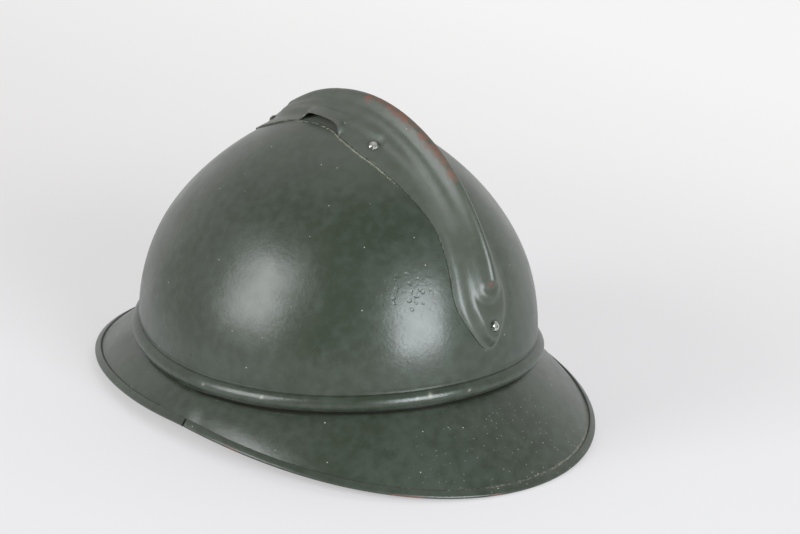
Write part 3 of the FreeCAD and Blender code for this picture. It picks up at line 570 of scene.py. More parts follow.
def sheet_mesh(name, upper, lower, keep=None, closed=False, masks=None):
    """Closed sheet between two grids of level points; keep says which cells there are."""
    rows, columns = upper.shape[:2]
    cells = rows if closed else rows - 1
    if keep is None:
        keep = np.ones((cells, columns - 1), bool)
    index = np.arange(rows * columns).reshape(rows, columns)
    index = np.vstack([index, index[:1]]) if closed else index
    under = index + rows * columns
    corners = [index[:-1, :-1], index[1:, :-1], index[1:, 1:], index[:-1, 1:]]
    below = [under[:-1, :-1], under[:-1, 1:], under[1:, 1:], under[1:, :-1]]
    faces = np.stack(corners, -1)[keep].tolist() + np.stack(below, -1)[keep].tolist()
    # A wall closes the sheet wherever a cell has no neighbour
    padded = np.zeros((cells + 2, columns + 1), bool)
    padded[1:-1, 1:-1] = keep
    if closed:
        padded[0, 1:-1] = keep[-1]
        padded[-1, 1:-1] = keep[0]
    rims = [
        (index[row, column], index[row, column + 1])
        for row, column in np.argwhere(padded[:-1, 1:-1] != padded[1:, 1:-1])
        if not (closed and row == cells)
    ]
    rims += [
        (index[row, column], index[row + 1, column])
        for row, column in np.argwhere(padded[1:-1, :-1] != padded[1:-1, 1:])
    ]
    deeper = rows * columns
    faces += [[int(a), int(b), int(b) + deeper, int(a) + deeper] for a, b in rims]
    points = to_rest(np.concatenate([upper.reshape(-1, 3), lower.reshape(-1, 3)]))
    both = {k: np.concatenate([v.ravel(), v.ravel()]) for k, v in (masks or {}).items()}
    return mesh_from(name, points, faces, both)


def cut_sheet(name, outline, hole, spacing, lay, thickness):
    """Sheet cut to a flat outline with one hole, and laid on a form by a function."""
    points, edges = [], []
    for loop in (outline, hole):
        first = len(points)
        points += [Vector(p) for p in loop]
        edges += [(first + i, first + (i + 1) % len(loop)) for i in range(len(loop))]
    border = np.array([list(p) for p in points])
    low, high = border.min(0), border.max(0)
    inner = []
    for row, y in enumerate(np.arange(low[1], high[1], spacing * 0.866)):
        for x in np.arange(low[0] + (row % 2) * spacing / 2, high[0], spacing):
            if np.hypot(*(border - (x, y)).T).min() > spacing * 0.55:
                inner.append(Vector((x, y)))
    flat, _, triangles = delaunay_2d_cdt(points + inner, edges, [], 4, 1e-4)[:3]
    used = sorted({i for t in triangles for i in t})
    flat = np.array([list(flat[i]) for i in used])
    renumber = {old: new for new, old in enumerate(used)}
    triangles = [[renumber[i] for i in t] for t in triangles]
    upper, normal = lay(flat)
    lower = upper - normal * thickness
    count = len(flat)
    sides = dict.fromkeys(edge for a, b, c in triangles for edge in ((a, b), (b, c), (c, a)))
    faces = triangles + [[i + count for i in reversed(t)] for t in triangles]
    faces += [[b, a, a + count, b + count] for a, b in sides if (b, a) not in sides]
    return mesh_from(name, to_rest(np.concatenate([upper, lower])), faces)


def ring_faces(first, rows, sides):
    """Faces of a closed form whose points go round it in rings, from a first point."""
    faces = []
    for i in range(rows - 1):
        for j in range(sides):
            a, b = first + i * sides + j, first + i * sides + (j + 1) % sides
            faces.append([a, b, b + sides, a + sides])
    last = first + (rows - 1) * sides
    faces.append([first + j for j in reversed(range(sides))])
    faces.append([last + j for j in range(sides)])
    return faces


def thread_mesh(name, runs, radius):
    """Short stitches of thread, each a rounded tube along its own few points."""
    sides = 8
    ring = np.linspace(0.0, 2 * np.pi, sides, endpoint=False)
    points, faces = [], []
    for run in runs:
        along = unit(np.gradient(run, axis=0))
        normal = unit(np.cross(along, unit(np.cross(along, [0.3, 0.2, 1.0]))))
        side = np.cross(along, normal)
        share = np.linspace(-1.0, 1.0, len(run))
        girth = radius * np.sqrt(np.clip(1.0 - share ** 4, 0.02, 1.0))
        first = len(points)
        for i, centre in enumerate(run):
            arm = np.outer(np.cos(ring), normal[i]) + np.outer(np.sin(ring), side[i])
            points += list(centre + arm * girth[i])
        faces += ring_faces(first, len(run), sides)
    return mesh_from(name, to_rest(np.array(points)), faces)


def feed(node, inputs):
    """Set inputs of a node to values, or link them to sockets or to the first outputs of nodes."""
    for key, value in dict(inputs).items():
        if isinstance(value, bpy.types.Node):
            value = next(socket for socket in value.outputs if socket.enabled)
        if isinstance(value, bpy.types.NodeSocket):
            node.id_data.links.new(value, node.inputs[key])
        else:
            node.inputs[key].default_value = value


def add_node(tree, kind, inputs=(), **settings):
    """Add a node with its settings and feed its inputs."""
    node = tree.nodes.new(kind)
    for name, value in settings.items():
        setattr(node, name, value)
    feed(node, inputs)
    return node


def new_finish(name):
    """Empty material with its tree, its shader and its place in millimetres."""
    material = bpy.data.materials.new(name)
    material.use_nodes = True
    tree = material.node_tree
    local = add_node(tree, "ShaderNodeTexCoord").outputs["Object"]
    place = add_node(tree, "ShaderNodeVectorMath", {0: local, "Scale": 1000.0}, operation="SCALE")
    return material, tree, tree.nodes["Principled BSDF"], place


def rgba(colour):
    """Colour with full alpha."""
    return (*colour, 1.0)


def olive_enamel():
    """Sprayed alkyd enamel on drawn steel: half gloss with a faint orange peel, greyed on the crown
    by dust and a painted sheen, with lint, blisters, scratches, rust where a ridge or an edge has
    worn through, and painted shade in the gap under the bead."""
    finish = bpy.context.scene.helmet_finish
    material, tree, shader, place = new_finish("olive_alkyd_enamel_on_drawn_steel")
    mask = {}
    for name in ("film_and_painted_light", "dust", "gap_shade", "primer", "scuff", "worn", "blister"):
        mask[name] = add_node(tree, "ShaderNodeAttribute", attribute_name=name).outputs["Fac"]
    # Slow drift of tone over about 40 mm, and mottling over about 5 mm
    drift = add_node(tree, "ShaderNodeTexNoise", {"Vector": place, "Scale": 1 / 40, "Detail": 3.0})
    mottle = add_node(tree, "ShaderNodeTexNoise", {"Vector": place, "Scale": 1 / 5, "Detail": 4.0})
    both = add_node(tree, "ShaderNodeMath", {0: drift, 1: mottle}, operation="ADD")
    tone = add_node(
        tree, "ShaderNodeMapRange", {"Value": both, "From Min": 0.7, "From Max": 1.3},
        interpolation_type="SMOOTHSTEP")
    paint = add_node(
        tree, "ShaderNodeMix", {0: tone, 6: rgba(finish.enamel_deep), 7: rgba(finish.enamel_pale)},
        data_type="RGBA")
    # Dust gathered in the seams, broken up over about 2 mm
    grit = add_node(
        tree, "ShaderNodeTexNoise", {"Vector": place, "Scale": 1 / 2, "Detail": 5.0, "Roughness": 0.7})
    dust_sum = add_node(tree, "ShaderNodeMath", {0: mask["dust"], 1: grit}, operation="ADD")
    dust = add_node(
        tree, "ShaderNodeMapRange",
        {"Value": dust_sum, "From Min": 1.0, "From Max": 1.45, "To Max": 0.75})
    # Lint and specks, about 0.5 mm across and 8 mm apart
    specks = add_node(
        tree, "ShaderNodeTexVoronoi", {"Vector": place, "Scale": 1 / 8, "Randomness": 1.0})
    speck = add_node(
        tree, "ShaderNodeMapRange",
        {"Value": specks, "From Min": 0.045, "From Max": 0.025, "To Max": 0.7})
    # Short pale scratches down the scuffed part of the brim
    drawn_out = add_node(
        tree, "ShaderNodeVectorMath", {0: place, 1: (1.0, 1.0, 0.12)}, operation="MULTIPLY")
    nearest = add_node(tree, "ShaderNodeTexVoronoi", {"Vector": drawn_out, "Scale": 1 / 2.2})
    scratch = add_node(
        tree, "ShaderNodeMapRange",
        {"Value": nearest, "From Min": 0.12, "From Max": 0.06, "To Max": 0.55})
    scratched = add_node(tree, "ShaderNodeMath", {0: scratch, 1: mask["scuff"]}, operation="MULTIPLY")
    # Rust in scabs of about 6 mm where the edge has rubbed through
    scab = add_node(
        tree, "ShaderNodeTexNoise", {"Vector": place, "Scale": 1 / 6, "Detail": 6.0, "Roughness": 0.65})
    worn_sum = add_node(tree, "ShaderNodeMath", {0: mask["worn"], 1: scab}, operation="ADD")
    bare = add_node(
        tree, "ShaderNodeMapRange",
        {"Value": worn_sum, "From Min": 1.08, "From Max": 1.3, "To Max": 0.8})
    # Dust film with painted light next to the paint, then dust, painted gap shade, rust on top of all
    layers = (
        (mask["film_and_painted_light"], finish.film_and_painted_light), (dust, finish.dust), (mask["gap_shade"], finish.gap_shade),
        (mask["primer"], finish.primer), (speck, finish.lint),
        (scratched, finish.primer), (bare, finish.rust),
    )
    colour = paint
    for share, layer in layers:
        colour = add_node(
            tree, "ShaderNodeMix", {0: share, 6: colour, 7: rgba(layer)}, data_type="RGBA")
    # Gloss varies over about 18 mm as the enamel has dulled in handling, and dust and rust are matt
    handled = add_node(tree, "ShaderNodeTexNoise", {"Vector": place, "Scale": 1 / 18, "Detail": 4.0})
    gloss = add_node(
        tree, "ShaderNodeMapRange",
        {"Value": handled, "From Min": 0.3, "From Max": 0.7, "To Min": 0.27, "To Max": 0.35})
    hazed = add_node(
        tree, "ShaderNodeMath", {0: mask["film_and_painted_light"], 1: 0.45, 2: gloss}, operation="MULTIPLY_ADD")
    dulled = add_node(tree, "ShaderNodeMath", {0: dust, 1: bare}, operation="MAXIMUM")
    rough = add_node(tree, "ShaderNodeMix", {0: dulled, 2: hazed, 3: 0.75})
    # Orange peel of about 1.8 mm, and burst blisters about 2 mm across in their own patch
    peel = add_node(tree, "ShaderNodeTexNoise", {"Vector": place, "Scale": 1 / 1.8, "Detail": 2.0})
    uneven = add_node(tree, "ShaderNodeTexNoise", {"Vector": place, "Scale": 1 / 1.6, "Detail": 2.0})
    shifted = add_node(
        tree, "ShaderNodeVectorMath", {0: uneven.outputs["Color"], 1: (1.7, 1.7, 1.7), 2: place},
        operation="MULTIPLY_ADD")
    pits = add_node(tree, "ShaderNodeTexVoronoi", {"Vector": shifted, "Scale": 1 / 3.6})
    crater = add_node(
        tree, "ShaderNodeMapRange", {"Value": pits, "From Min": 0.33, "From Max": 0.22, "To Max": 1.5})
    pitted = add_node(tree, "ShaderNodeMath", {0: crater, 1: mask["blister"]}, operation="MULTIPLY")
    relief = add_node(tree, "ShaderNodeMath", {0: peel, 1: pitted}, operation="SUBTRACT")
    bump = add_node(tree, "ShaderNodeBump", {"Strength": 0.5, "Distance": 0.00013, "Height": relief})
    feed(shader, {"Base Color": colour, "Roughness": rough, "Normal": bump})
    shader.inputs["IOR"].default_value = 1.5
    return material


def knocked_steel():
    """Mild steel rivet, headed cold after painting: bright where the set struck, enamel round it."""
    finish = bpy.context.scene.helmet_finish
    material, tree, shader, place = new_finish("cold_headed_mild_steel_rivet")
    crown = add_node(tree, "ShaderNodeAttribute", attribute_name="crown")
    marks = add_node(tree, "ShaderNodeTexNoise", {"Vector": place, "Scale": 1 / 1.3, "Detail": 5.0})
    total = add_node(tree, "ShaderNodeMath", {0: crown.outputs["Fac"], 1: marks}, operation="ADD")
    bright = add_node(tree, "ShaderNodeMapRange", {"Value": total, "From Min": 0.95, "From Max": 1.1})
    colour = add_node(
        tree, "ShaderNodeMix", {0: bright, 6: rgba(finish.enamel_deep), 7: rgba(finish.steel)},
        data_type="RGBA")
    bump = add_node(tree, "ShaderNodeBump", {"Strength": 0.6, "Distance": 0.0002, "Height": marks})
    feed(shader, {"Base Color": colour, "Metallic": bright, "Normal": bump})
    shader.inputs["Roughness"].default_value = 0.3
    return material


def rolled_metal(name, colour, grain, roughness):
    """Rolled or drawn bare metal, with oxide patches that darken it and dull its shine."""
    material, tree, shader, place = new_finish(name)
    patch = add_node(tree, "ShaderNodeTexNoise", {"Vector": place, "Scale": 1 / grain, "Detail": 6.0})
    dull = add_node(
        tree, "ShaderNodeMapRange",
        {"Value": patch, "From Min": 0.4, "From Max": 0.7, "To Min": 0.0, "To Max": 0.6})
    shade = add_node(
        tree, "ShaderNodeMix", {0: dull, 6: rgba(colour), 7: rgba([c * 0.45 for c in colour])},
        data_type="RGBA")
    rough = add_node(
        tree, "ShaderNodeMapRange",
        {"Value": patch, "From Min": 0.3, "From Max": 0.7, "To Min": roughness,
         "To Max": roughness + 0.25})
    feed(shader, {"Base Color": shade, "Roughness": rough})
    shader.inputs["Metallic"].default_value = 1.0
    return material


def tanned_leather():
    """Vegetable-tanned sheepskin: pebbled grain about 1.2 mm, polished and paler where worn."""
    finish = bpy.context.scene.helmet_finish
    material, tree, shader, place = new_finish("vegetable_tanned_leather")
    patch = add_node(tree, "ShaderNodeTexNoise", {"Vector": place, "Scale": 1 / 25, "Detail": 5.0})
    tone = add_node(
        tree, "ShaderNodeMix", {0: patch, 6: rgba(finish.leather), 7: rgba(finish.leather_worn)},
        data_type="RGBA")
    grain = add_node(
        tree, "ShaderNodeTexVoronoi", {"Vector": place, "Scale": 1 / 1.2}, feature="DISTANCE_TO_EDGE")
    crease = add_node(
        tree, "ShaderNodeMapRange",
        {"Value": grain, "From Min": 0.0, "From Max": 0.12, "To Min": 0.35, "To Max": 0.0})
    dark = add_node(
        tree, "ShaderNodeMix", {0: crease, 6: tone, 7: rgba(srgb("#24170E"))}, data_type="RGBA")
    rough = add_node(
        tree, "ShaderNodeMapRange",
        {"Value": patch, "From Min": 0.3, "From Max": 0.7, "To Min": 0.62, "To Max": 0.45})
    bump = add_node(tree, "ShaderNodeBump", {"Strength": 0.5, "Distance": 0.00025, "Height": grain})
    feed(shader, {"Base Color": dark, "Roughness": rough, "Normal": bump})
    return material


def wool_felt():
    """Pressed wool felt: matted fibres about 0.6 mm long, matt with a soft sheen."""
    finish = bpy.context.scene.helmet_finish
    material, tree, shader, place = new_finish("pressed_wool_felt")
    fibres = add_node(
        tree, "ShaderNodeTexNoise",
        {"Vector": place, "Scale": 1 / 0.6, "Detail": 6.0, "Roughness": 0.75, "Distortion": 1.5})
    lint = add_node(tree, "ShaderNodeMapRange", {"Value": fibres, "From Min": 0.35, "From Max": 0.7})
    tone = add_node(
        tree, "ShaderNodeMix",
        {0: lint, 6: rgba([c * 0.55 for c in finish.felt]), 7: rgba(finish.felt)}, data_type="RGBA")
    bump = add_node(tree, "ShaderNodeBump", {"Strength": 0.8, "Distance": 0.0005, "Height": fibres})
    feed(shader, {"Base Color": tone, "Normal": bump})
    shader.inputs["Roughness"].default_value = 0.95
    shader.inputs["Sheen Weight"].default_value = 0.4
    return material


def waxed_thread():
    """Waxed linen thread: a twisted lay about 0.5 mm long, slightly glossy."""
    finish = bpy.context.scene.helmet_finish
    material, tree, shader, place = new_finish("waxed_linen_thread")
    lay = add_node(tree, "ShaderNodeTexNoise", {"Vector": place, "Scale": 1 / 0.5, "Detail": 3.0})
    tone = add_node(
        tree, "ShaderNodeMix",
        {0: lay, 6: rgba([c * 0.5 for c in finish.thread]), 7: rgba(finish.thread)}, data_type="RGBA")
    feed(shader, {"Base Color": tone})
    shader.inputs["Roughness"].default_value = 0.55
    return material


MADE = {}


def shared(maker):
    """Material made once and then used by every piece of that finish."""
    if maker.__name__ not in MADE:
        MADE[maker.__name__] = maker()
    return MADE[maker.__name__]


class HELMET_OT_bowl(bpy.types.Operator):
    """Drawn bowl with its crown vent and rolled bead"""

    bl_idname = "helmet.bowl"
    bl_label = "Bowl"

    def execute(self, context):
        form = context.scene.helmet_form
        turn = np.linspace(0.0, 2 * np.pi, form.turns, endpoint=False)
        bottom = bead_root(turn)
        runs = zip(self.dome(form, turn, bottom), self.bead(turn, bottom))
        grids = [np.concatenate(run, 1) for run in runs]
        mesh = sheet_mesh("bowl_shell", *grids, closed=True, masks=self.wear(turn, grids[0]))
        finish_piece(mesh, "painted_steel", shared(olive_enamel), "bowl")
        return {"FINISHED"}

    def dome(self, form, turn, bottom):
        """Outer and inner grids from the edge of the crown vent down to the bead."""
        reach = 1 / np.hypot(
            BOWL_AXES[0] * np.sin(turn) / VENT_AXES[0], BOWL_AXES[1] * np.cos(turn) / VENT_AXES[1])
        top = solve(
            lambda rise: profile_radius(rise, turn) * np.cos(rise) - reach,
            0 * turn + 0.8, 0 * turn + math.pi / 2)
        share = np.concatenate([np.linspace(0.0, 0.96, 130), np.linspace(0.965, 1.0, 14)])
        rise = top[:, None] + (bottom - top)[:, None] * share
        outer = bowl_point(rise, turn[:, None])
        normal = bowl_normal(outer)
        # The slow waves stay away from the comb, except low on the rear
        clear = smooth_step((np.abs(outer[..., 0]) - 24.0) / 12.0)
        low_rear = smooth_step((70.0 - outer[..., 2]) / 20.0) * (outer[..., 1] > 0)
        lift = waves(outer, 46.0, 3) * form.dent_depth * 1000 * np.maximum(clear, low_rear)
        above_bead = (rise - bottom[:, None]) * BOWL_AXES[1]
        groove = form.groove_depth * 1000 * bell(above_bead, 0.9, 0.55)
        return outer + normal * (lift - groove)[..., None], outer + normal * (lift - SHEET)[..., None]

    def bead(self, turn, bottom):
        """Outer and inner grids of the rolled bead."""
        wall, level = wall_offset(turn), junction_level(turn)

        def flat(offset, height_over):
            return np.stack([wall + offset, level + height_over], -1)

        outer = circle_arc(
            flat(0.0, BEAD_HEIGHT), flat(BEAD_REACH, BEAD_HEIGHT / 2), flat(BEAD_LIP_REACH, 0.3), 25)
        root = bowl_point(bottom, turn) - bowl_normal(bowl_point(bottom, turn)) * SHEET
        inside = np.hypot(root[:, 0], root[:, 1]) - np.hypot(*oval_point(turn, 0, 0)[:, :2].T)
        inner = circle_arc(
            np.stack([inside, root[:, 2]], -1), flat(BEAD_REACH - SHEET, BEAD_HEIGHT / 2),
            flat(BEAD_LIP_REACH - 0.3, 0.3 + SHEET), 25)
        return [oval_point(turn[:, None], arc[:, 1:, 0], arc[:, 1:, 1]) for arc in (outer, inner)]

    def wear(self, turn, outer):
        """Masks for the wear and the dust on the bowl, and for its painted light and painted shade."""
        above = outer[..., 2] - junction_level(turn)[:, None]
        primer = 0 * above
        for nick_turn, nick_height, radius in BEAD_NICKS:
            along = (np.degrees(turn)[:, None] - nick_turn) * 1.85
            primer = primer + 0.35 * bell(along, 0.0, radius) * bell(above, nick_height, radius)
        # Dust lies along the edge of the comb and thins out towards both of its ends
        dust = 0 * above
        near = (np.abs(outer[..., 0]) < 34.0) & (above > BEAD_HEIGHT + 6.0)
        station, beyond = comb_place(outer[near])
        near_side = np.where(outer[near][:, 0] > 0, 1.0, 0.6)
        sheltered = smooth_step((86.0 - station) / 30.0) * smooth_step((station + 30.0) / 20.0)
        line = bell(beyond, 0.35, 0.5) * (0.5 + 0.22 * sheltered)
        dust[near] = near_side * (line + 0.3 * sheltered * bell(beyond, 1.2, 1.8))
        # The crown is paled towards its top, partly dust and partly painted sheen; the bowl under the
        # comb's edge is paled, partly dust and partly painted light in the comb's shade
        film_and_painted_light = 0.2 * smooth_step((outer[..., 2] - 92.0) / 34.0)
        film_and_painted_light[near] += 0.45 * smooth_step(-beyond / 1.5)
        apart = np.linalg.norm(outer - BLISTER_PLACE, axis=-1)
        return {
            "worn": 0.36 * bell(above, 5.0, 2.2) + 0.3 * bell(above, 0.4, 0.7), "dust": dust,
            # Painted shade: a near-black line along the bead's lower lip over the rear plate, where the
            # gap below it is in shadow
            "gap_shade": at_rear_plate(turn)[:, None] * smooth_step((0.8 - above) / 0.5),
            "blister": smooth_step((BLISTER_RADIUS - apart) / (BLISTER_RADIUS * 0.6)),
            "primer": primer, "film_and_painted_light": film_and_painted_light,
        }


def brim_section(turn, lift):
    """Upper line of a brim plate at each turn, in offset and level: flange, root bend and plate.
    With it come the start of the hem and the directions along and up from the plate."""
    flange = wall_offset(turn) - SHEET - FLANGE_GAP + lift
    bend = junction_level(turn) + ROOT_DROP - ROOT_RADIUS * 0.2
    at_side = bell(np.degrees(np.arccos(np.abs(np.cos(turn)))), 90.0, 9.0)
    reach = brim_level(turn, BRIM_REACHES, BEAD_REACH) - SIDE_TRIM * at_side
    level = brim_level(turn, BRIM_LEVELS)
    slope = np.arctan2(bend - ROOT_RADIUS * 0.6 - level, reach - flange - ROOT_RADIUS * 0.4)
    top = junction_level(turn) + FLANGE_RISE
    angle = (np.pi / 2 - slope)[:, None] * np.linspace(0.0, 1.0, 9)
    turned = np.stack([
        flange[:, None] + ROOT_RADIUS * (1 - np.cos(angle)),
        bend[:, None] - ROOT_RADIUS * np.sin(angle)], -1)
    root = turned[:, -1:]
    out = np.stack([np.cos(slope), -np.sin(slope)], -1)[:, None]
    up = np.stack([np.sin(slope), np.cos(slope)], -1)[:, None]
    hem = np.stack([reach, level], -1)[:, None] - out * HEM_WIDTH + up * lift[:, None, None]
    share = np.linspace(0.0, 1.0, 27)[1:, None]
    plate = root + (hem - root) * share + up * PLATE_CROWN * 4 * share * (1 - share)
    upright = [np.stack([flange, height], -1)[:, None] for height in (top, (top + bend) / 2)]
    return np.concatenate([*upright, turned, plate], 1), hem, out, up


def hem_fold(hem, out, up):
    """Upper and lower lines of the hem that is folded over onto the plate."""
    radius = (SHEET + HEM_STEP) / 2
    straight = HEM_WIDTH - radius
    folds = []
    for heights, side in (((0.5, 0.92, 1.08, HEM_STEP, HEM_STEP), 1), ((-SHEET,) * 5, -1)):
        run = list(zip((0.02, 0.1, 0.35, 0.8, straight), heights))
        for angle in np.linspace(0.0, np.pi / 2, 7)[1:]:
            height = HEM_STEP - radius + side * radius * math.cos(angle)
            run.append((straight + radius * math.sin(angle), height))
        folds.append(np.concatenate([hem + out * a + up * b for a, b in run], 1))
    return folds


def brim_wear(turn, upper, hem_start):
    """Masks for the wear, dust and scuffs on a brim plate, and for its painted shade under the bead."""
    column = np.arange(upper.shape[1]) - hem_start
    degrees = degrees_from_rear(turn[:, None])
    rusted = 0.42 + sum(0.45 * bell(degrees, middle, half) for middle, half in RIM_RUST)
    beyond = upper[..., 0] - upper[:, :1, 0]
    hem_dust = bell(column, 0.0, 1.2) * (0.45 + 0.4 * bell(degrees, -20.0, 42.0))
    return {
        "dust": hem_dust + 0.55 * bell(beyond, 2.6, 0.4),
        "worn": smooth_step((column - 5) / 4.0) * rusted,
        # Painted shade: the flange and root bend in the gap under the bead, near-black over the rear
        # plate
        "gap_shade": 0.9 * at_rear_plate(turn[:, None]) * smooth_step((2.1 - beyond) / 0.5),
        "scuff": bell(degrees, *SCUFF) * smooth_step((beyond - 5.0) / 6.0),
    }


def brim_sheet(name, turn, lift, hemmed, node):
    """Brim plate over a run of turns, with its hem where there is one."""
    line, hem, out, up = brim_section(turn, lift)
    along = unit(np.gradient(line, axis=1))
    along[:, 0] = (0.0, -1.0)
    across = np.stack([along[..., 1], -along[..., 0]], -1)
    sections = [
        np.concatenate(runs, 1) for runs in zip((line, line + across * SHEET), hem_fold(hem, out, up))]
    # The underside is flat where the hem would sink into the table
    grids = []
    for section in sections:
        points = oval_point(turn[:, None], section[..., 0], section[..., 1])
        points[..., 2] -= np.minimum(to_rest(points)[..., 2] * 1000, 0.0)
        grids.append(points)
    hem_start = line.shape[1] - 1
    keep = np.ones((len(turn) - 1, sections[0].shape[1] - 1), bool)
    keep[~hemmed, hem_start:] = False
    mesh = sheet_mesh(name, *grids, keep=keep, masks=brim_wear(turn, sections[0], hem_start))
    finish_piece(mesh, "painted_steel", shared(olive_enamel), node)


class HELMET_OT_brim(bpy.types.Operator):
    """Front and rear plates of the brim, lapped at the sides, with a folded hem"""

    bl_idname = "helmet.brim"
    bl_label = "Brim plates"

    def execute(self, context):
        turns = context.scene.helmet_form.turns
        turn = np.radians(np.linspace(FRONT_PLATE_END, 360 - FRONT_PLATE_END, turns // 2))
        brim_sheet("visor_plate", turn, 0 * turn, np.ones(len(turn) - 1, bool), "front_visor")
        half = np.concatenate([
            np.linspace(0.0, REAR_HEM_END, turns // 4),
            np.linspace(REAR_HEM_END, REAR_PLATE_END, 30)[1:]])
        degrees = np.concatenate([-half[:0:-1], half])
        middle = np.abs(degrees[:-1] + degrees[1:]) / 2
        lift = LAP_LIFT * smooth_step((np.abs(degrees) - 81.0) / 5.5)
        brim_sheet(
            "neck_guard_plate", np.radians(degrees), lift, middle < REAR_HEM_END, "rear_neck_guard")
        return {"FINISHED"}


class HELMET_OT_comb(bpy.types.Operator):
    """Stamped comb with its ridge, stepped ribs, vent mouths and riveted feet"""

    bl_idname = "helmet.comb"
    bl_label = "Comb"

    def execute(self, context):
        station, across = self.places()
        outer = comb_point(station, across)
        mesh = sheet_mesh(
            "comb_stamping", outer, outer - grid_normal(outer) * SHEET, masks=self.wear(station, across))
        finish_piece(mesh, "painted_steel", shared(olive_enamel), "comb")
        return {"FINISHED"}

    def places(self):
        """Grid of stations and distances from the middle, closer at the mouths and the rivets."""
        first, last = COMB_HALF_WIDTHS[0][0], COMB_HALF_WIDTHS[-1][0]
        mouth_end = MOUTH_STATIONS[2]
        runs = [np.arange(first, last, 0.8), np.arange(mouth_end - 3.0, mouth_end + 3.0, 0.25)]
        runs += [seat[0] + np.arange(-6.0, 6.0, 0.4) for seat in RIVET_SEATS.values()]
        stations = np.unique(np.round(np.concatenate(runs), 2))
        stations = stations[stations <= last]
        share = (stations - stations[0]) / (stations[-1] - stations[0])
        bulge = COMB_TIP_DEPTH * (smooth_step((share - 0.9) / 0.1) - smooth_step((0.1 - share) / 0.1))
        side = np.linspace(-1.0, 1.0, 161)
        station = stations[:, None] + bulge[:, None] * (1 - side * side)
        return station, through(COMB_HALF_WIDTHS, stations)[:, None] * side

    def wear(self, station, across):
        """Masks for the wear and the dust on the comb, a pale line along its crest, and a film of dust
        and painted light.
        """
        edge = np.linspace(-1.0, 1.0, across.shape[1]) ** 24 + 0 * station
        ridge = np.exp(-(np.abs(across - 1.2) / 3.3) ** 3)
        rubbed = smooth_step((station - 4.0) / 20.0) * smooth_step((106.0 - station) / 30.0)
        # A thin pale line, in the undercoat's colour, is painted along the far side of the ridge's
        # crest, from about station 56 to 124
        line = smooth_step((station - 56.0) / 10.0) * smooth_step((124.0 - station) / 30.0)
        return {
            "worn": ridge * (0.25 + 0.47 * rubbed + 0.45 * bell(station, 131.0, 2.0)) + 0.2 * edge,
            "dust": 0.55 * edge, "primer": 0.7 * bell(across, -2.0, 0.35) * line,
            # Dust mixed with painted light: the whole comb is paled by the film, less towards its rear
            # foot
            "film_and_painted_light": 0.16 + 0.1 * smooth_step((112.0 - station) / 24.0),
        }


def turned_mesh(name, profile, seat, axis, masks):
    """Form turned about an axis, its top slightly uneven from hammering."""
    sides = 40
    ring = np.linspace(0.0, 2 * np.pi, sides, endpoint=False)
    side = unit(np.cross(axis, [0.31, 0.17, 0.93]))
    other = np.cross(axis, side)
    arms = np.outer(np.cos(ring), side) + np.outer(np.sin(ring), other)
    points = np.concatenate([seat + arms * radius + axis * height for radius, height in profile])
    top = np.repeat(smooth_step((profile[:, 1] + 0.2) / 0.6), sides)
    points += np.outer(waves(points, 2.6, 11) * RIVET_WOBBLE * top, axis)
    values = {name: np.repeat(mask, sides) for name, mask in masks.items()}
    return mesh_from(name, to_rest(points), ring_faces(0, len(profile), sides), values)


class HELMET_OT_rivets(bpy.types.Operator):
    """Four rivets with domed heads over the comb and upset heads inside the bowl"""

    bl_idname = "helmet.rivets"
    bl_label = "Rivets"

    def execute(self, context):
        head = self.head()
        for name, (station, across, height_over) in RIVET_SEATS.items():
            step = np.array([-0.5, 0.0, 0.5])
            along = comb_point(station + step, across + 0 * step)
            sideways = comb_point(station + 0 * step, across + step)
            axis = unit(np.cross(sideways[2] - sideways[0], along[2] - along[0]))
            seat = along[1]
            axis = -axis if axis @ seat < 0 else axis
            depth = np.arange(height_over, 20.0, 0.05)
            grip = depth[np.argmax(bowl_excess(seat - np.outer(depth, axis)) <= 0)] + SHEET + 0.05
            profile = np.vstack([head, self.shank(grip)])
            crown = np.where(profile[:, 1] > 0.2, 0.62 - 0.12 * np.abs(profile[:, 0] - 1.2), 0.0)
            mesh = turned_mesh(name + "_head", profile, seat, axis, {"crown": crown})
            finish_piece(mesh, "bare_rivet", shared(knocked_steel), name)
        return {"FINISHED"}

    def head(self):
        """Radii and heights down the domed head, dimpled at its middle by the set."""
        ball = (RIVET_RADIUS ** 2 + RIVET_HEIGHT ** 2) / (2 * RIVET_HEIGHT)
        angle = np.linspace(0.0, math.asin(RIVET_RADIUS / ball), 16)
        radius = ball * np.sin(angle)
        height = RIVET_HEIGHT - ball + ball * np.cos(angle) + 0.05
        dimple = 0.35 * bell(radius, 0.3, 0.9)
        radius[0], height[0] = 0.05, RIVET_HEIGHT
        return np.stack([radius, height - dimple], -1)

    def shank(self, grip):
        """Radii and heights down the shank and round the head upset inside the bowl."""
        end = -grip - RIVET_UPSET_HEIGHT
        return [
            (RIVET_RADIUS * 0.97, 0.0), (RIVET_SHANK_RADIUS, 0.0), (RIVET_SHANK_RADIUS, -grip),
            (RIVET_UPSET_RADIUS, -grip), (RIVET_UPSET_RADIUS, -grip - 0.6),
            (RIVET_UPSET_RADIUS - 0.6, end), (0.05, end),
        ]


def band_lip(share):
    """How far the lower edge of the head band is turned out, by share of its height."""
    return BAND_LIP * smooth_step(1 - share / 0.10)


def band_crease(angle, share):
    """Slow creases that wear has left in the head band."""
    return 0.12 * np.sin(7 * angle + 0.4) * (0.5 - share) + 0.08 * np.sin(23 * angle) * share


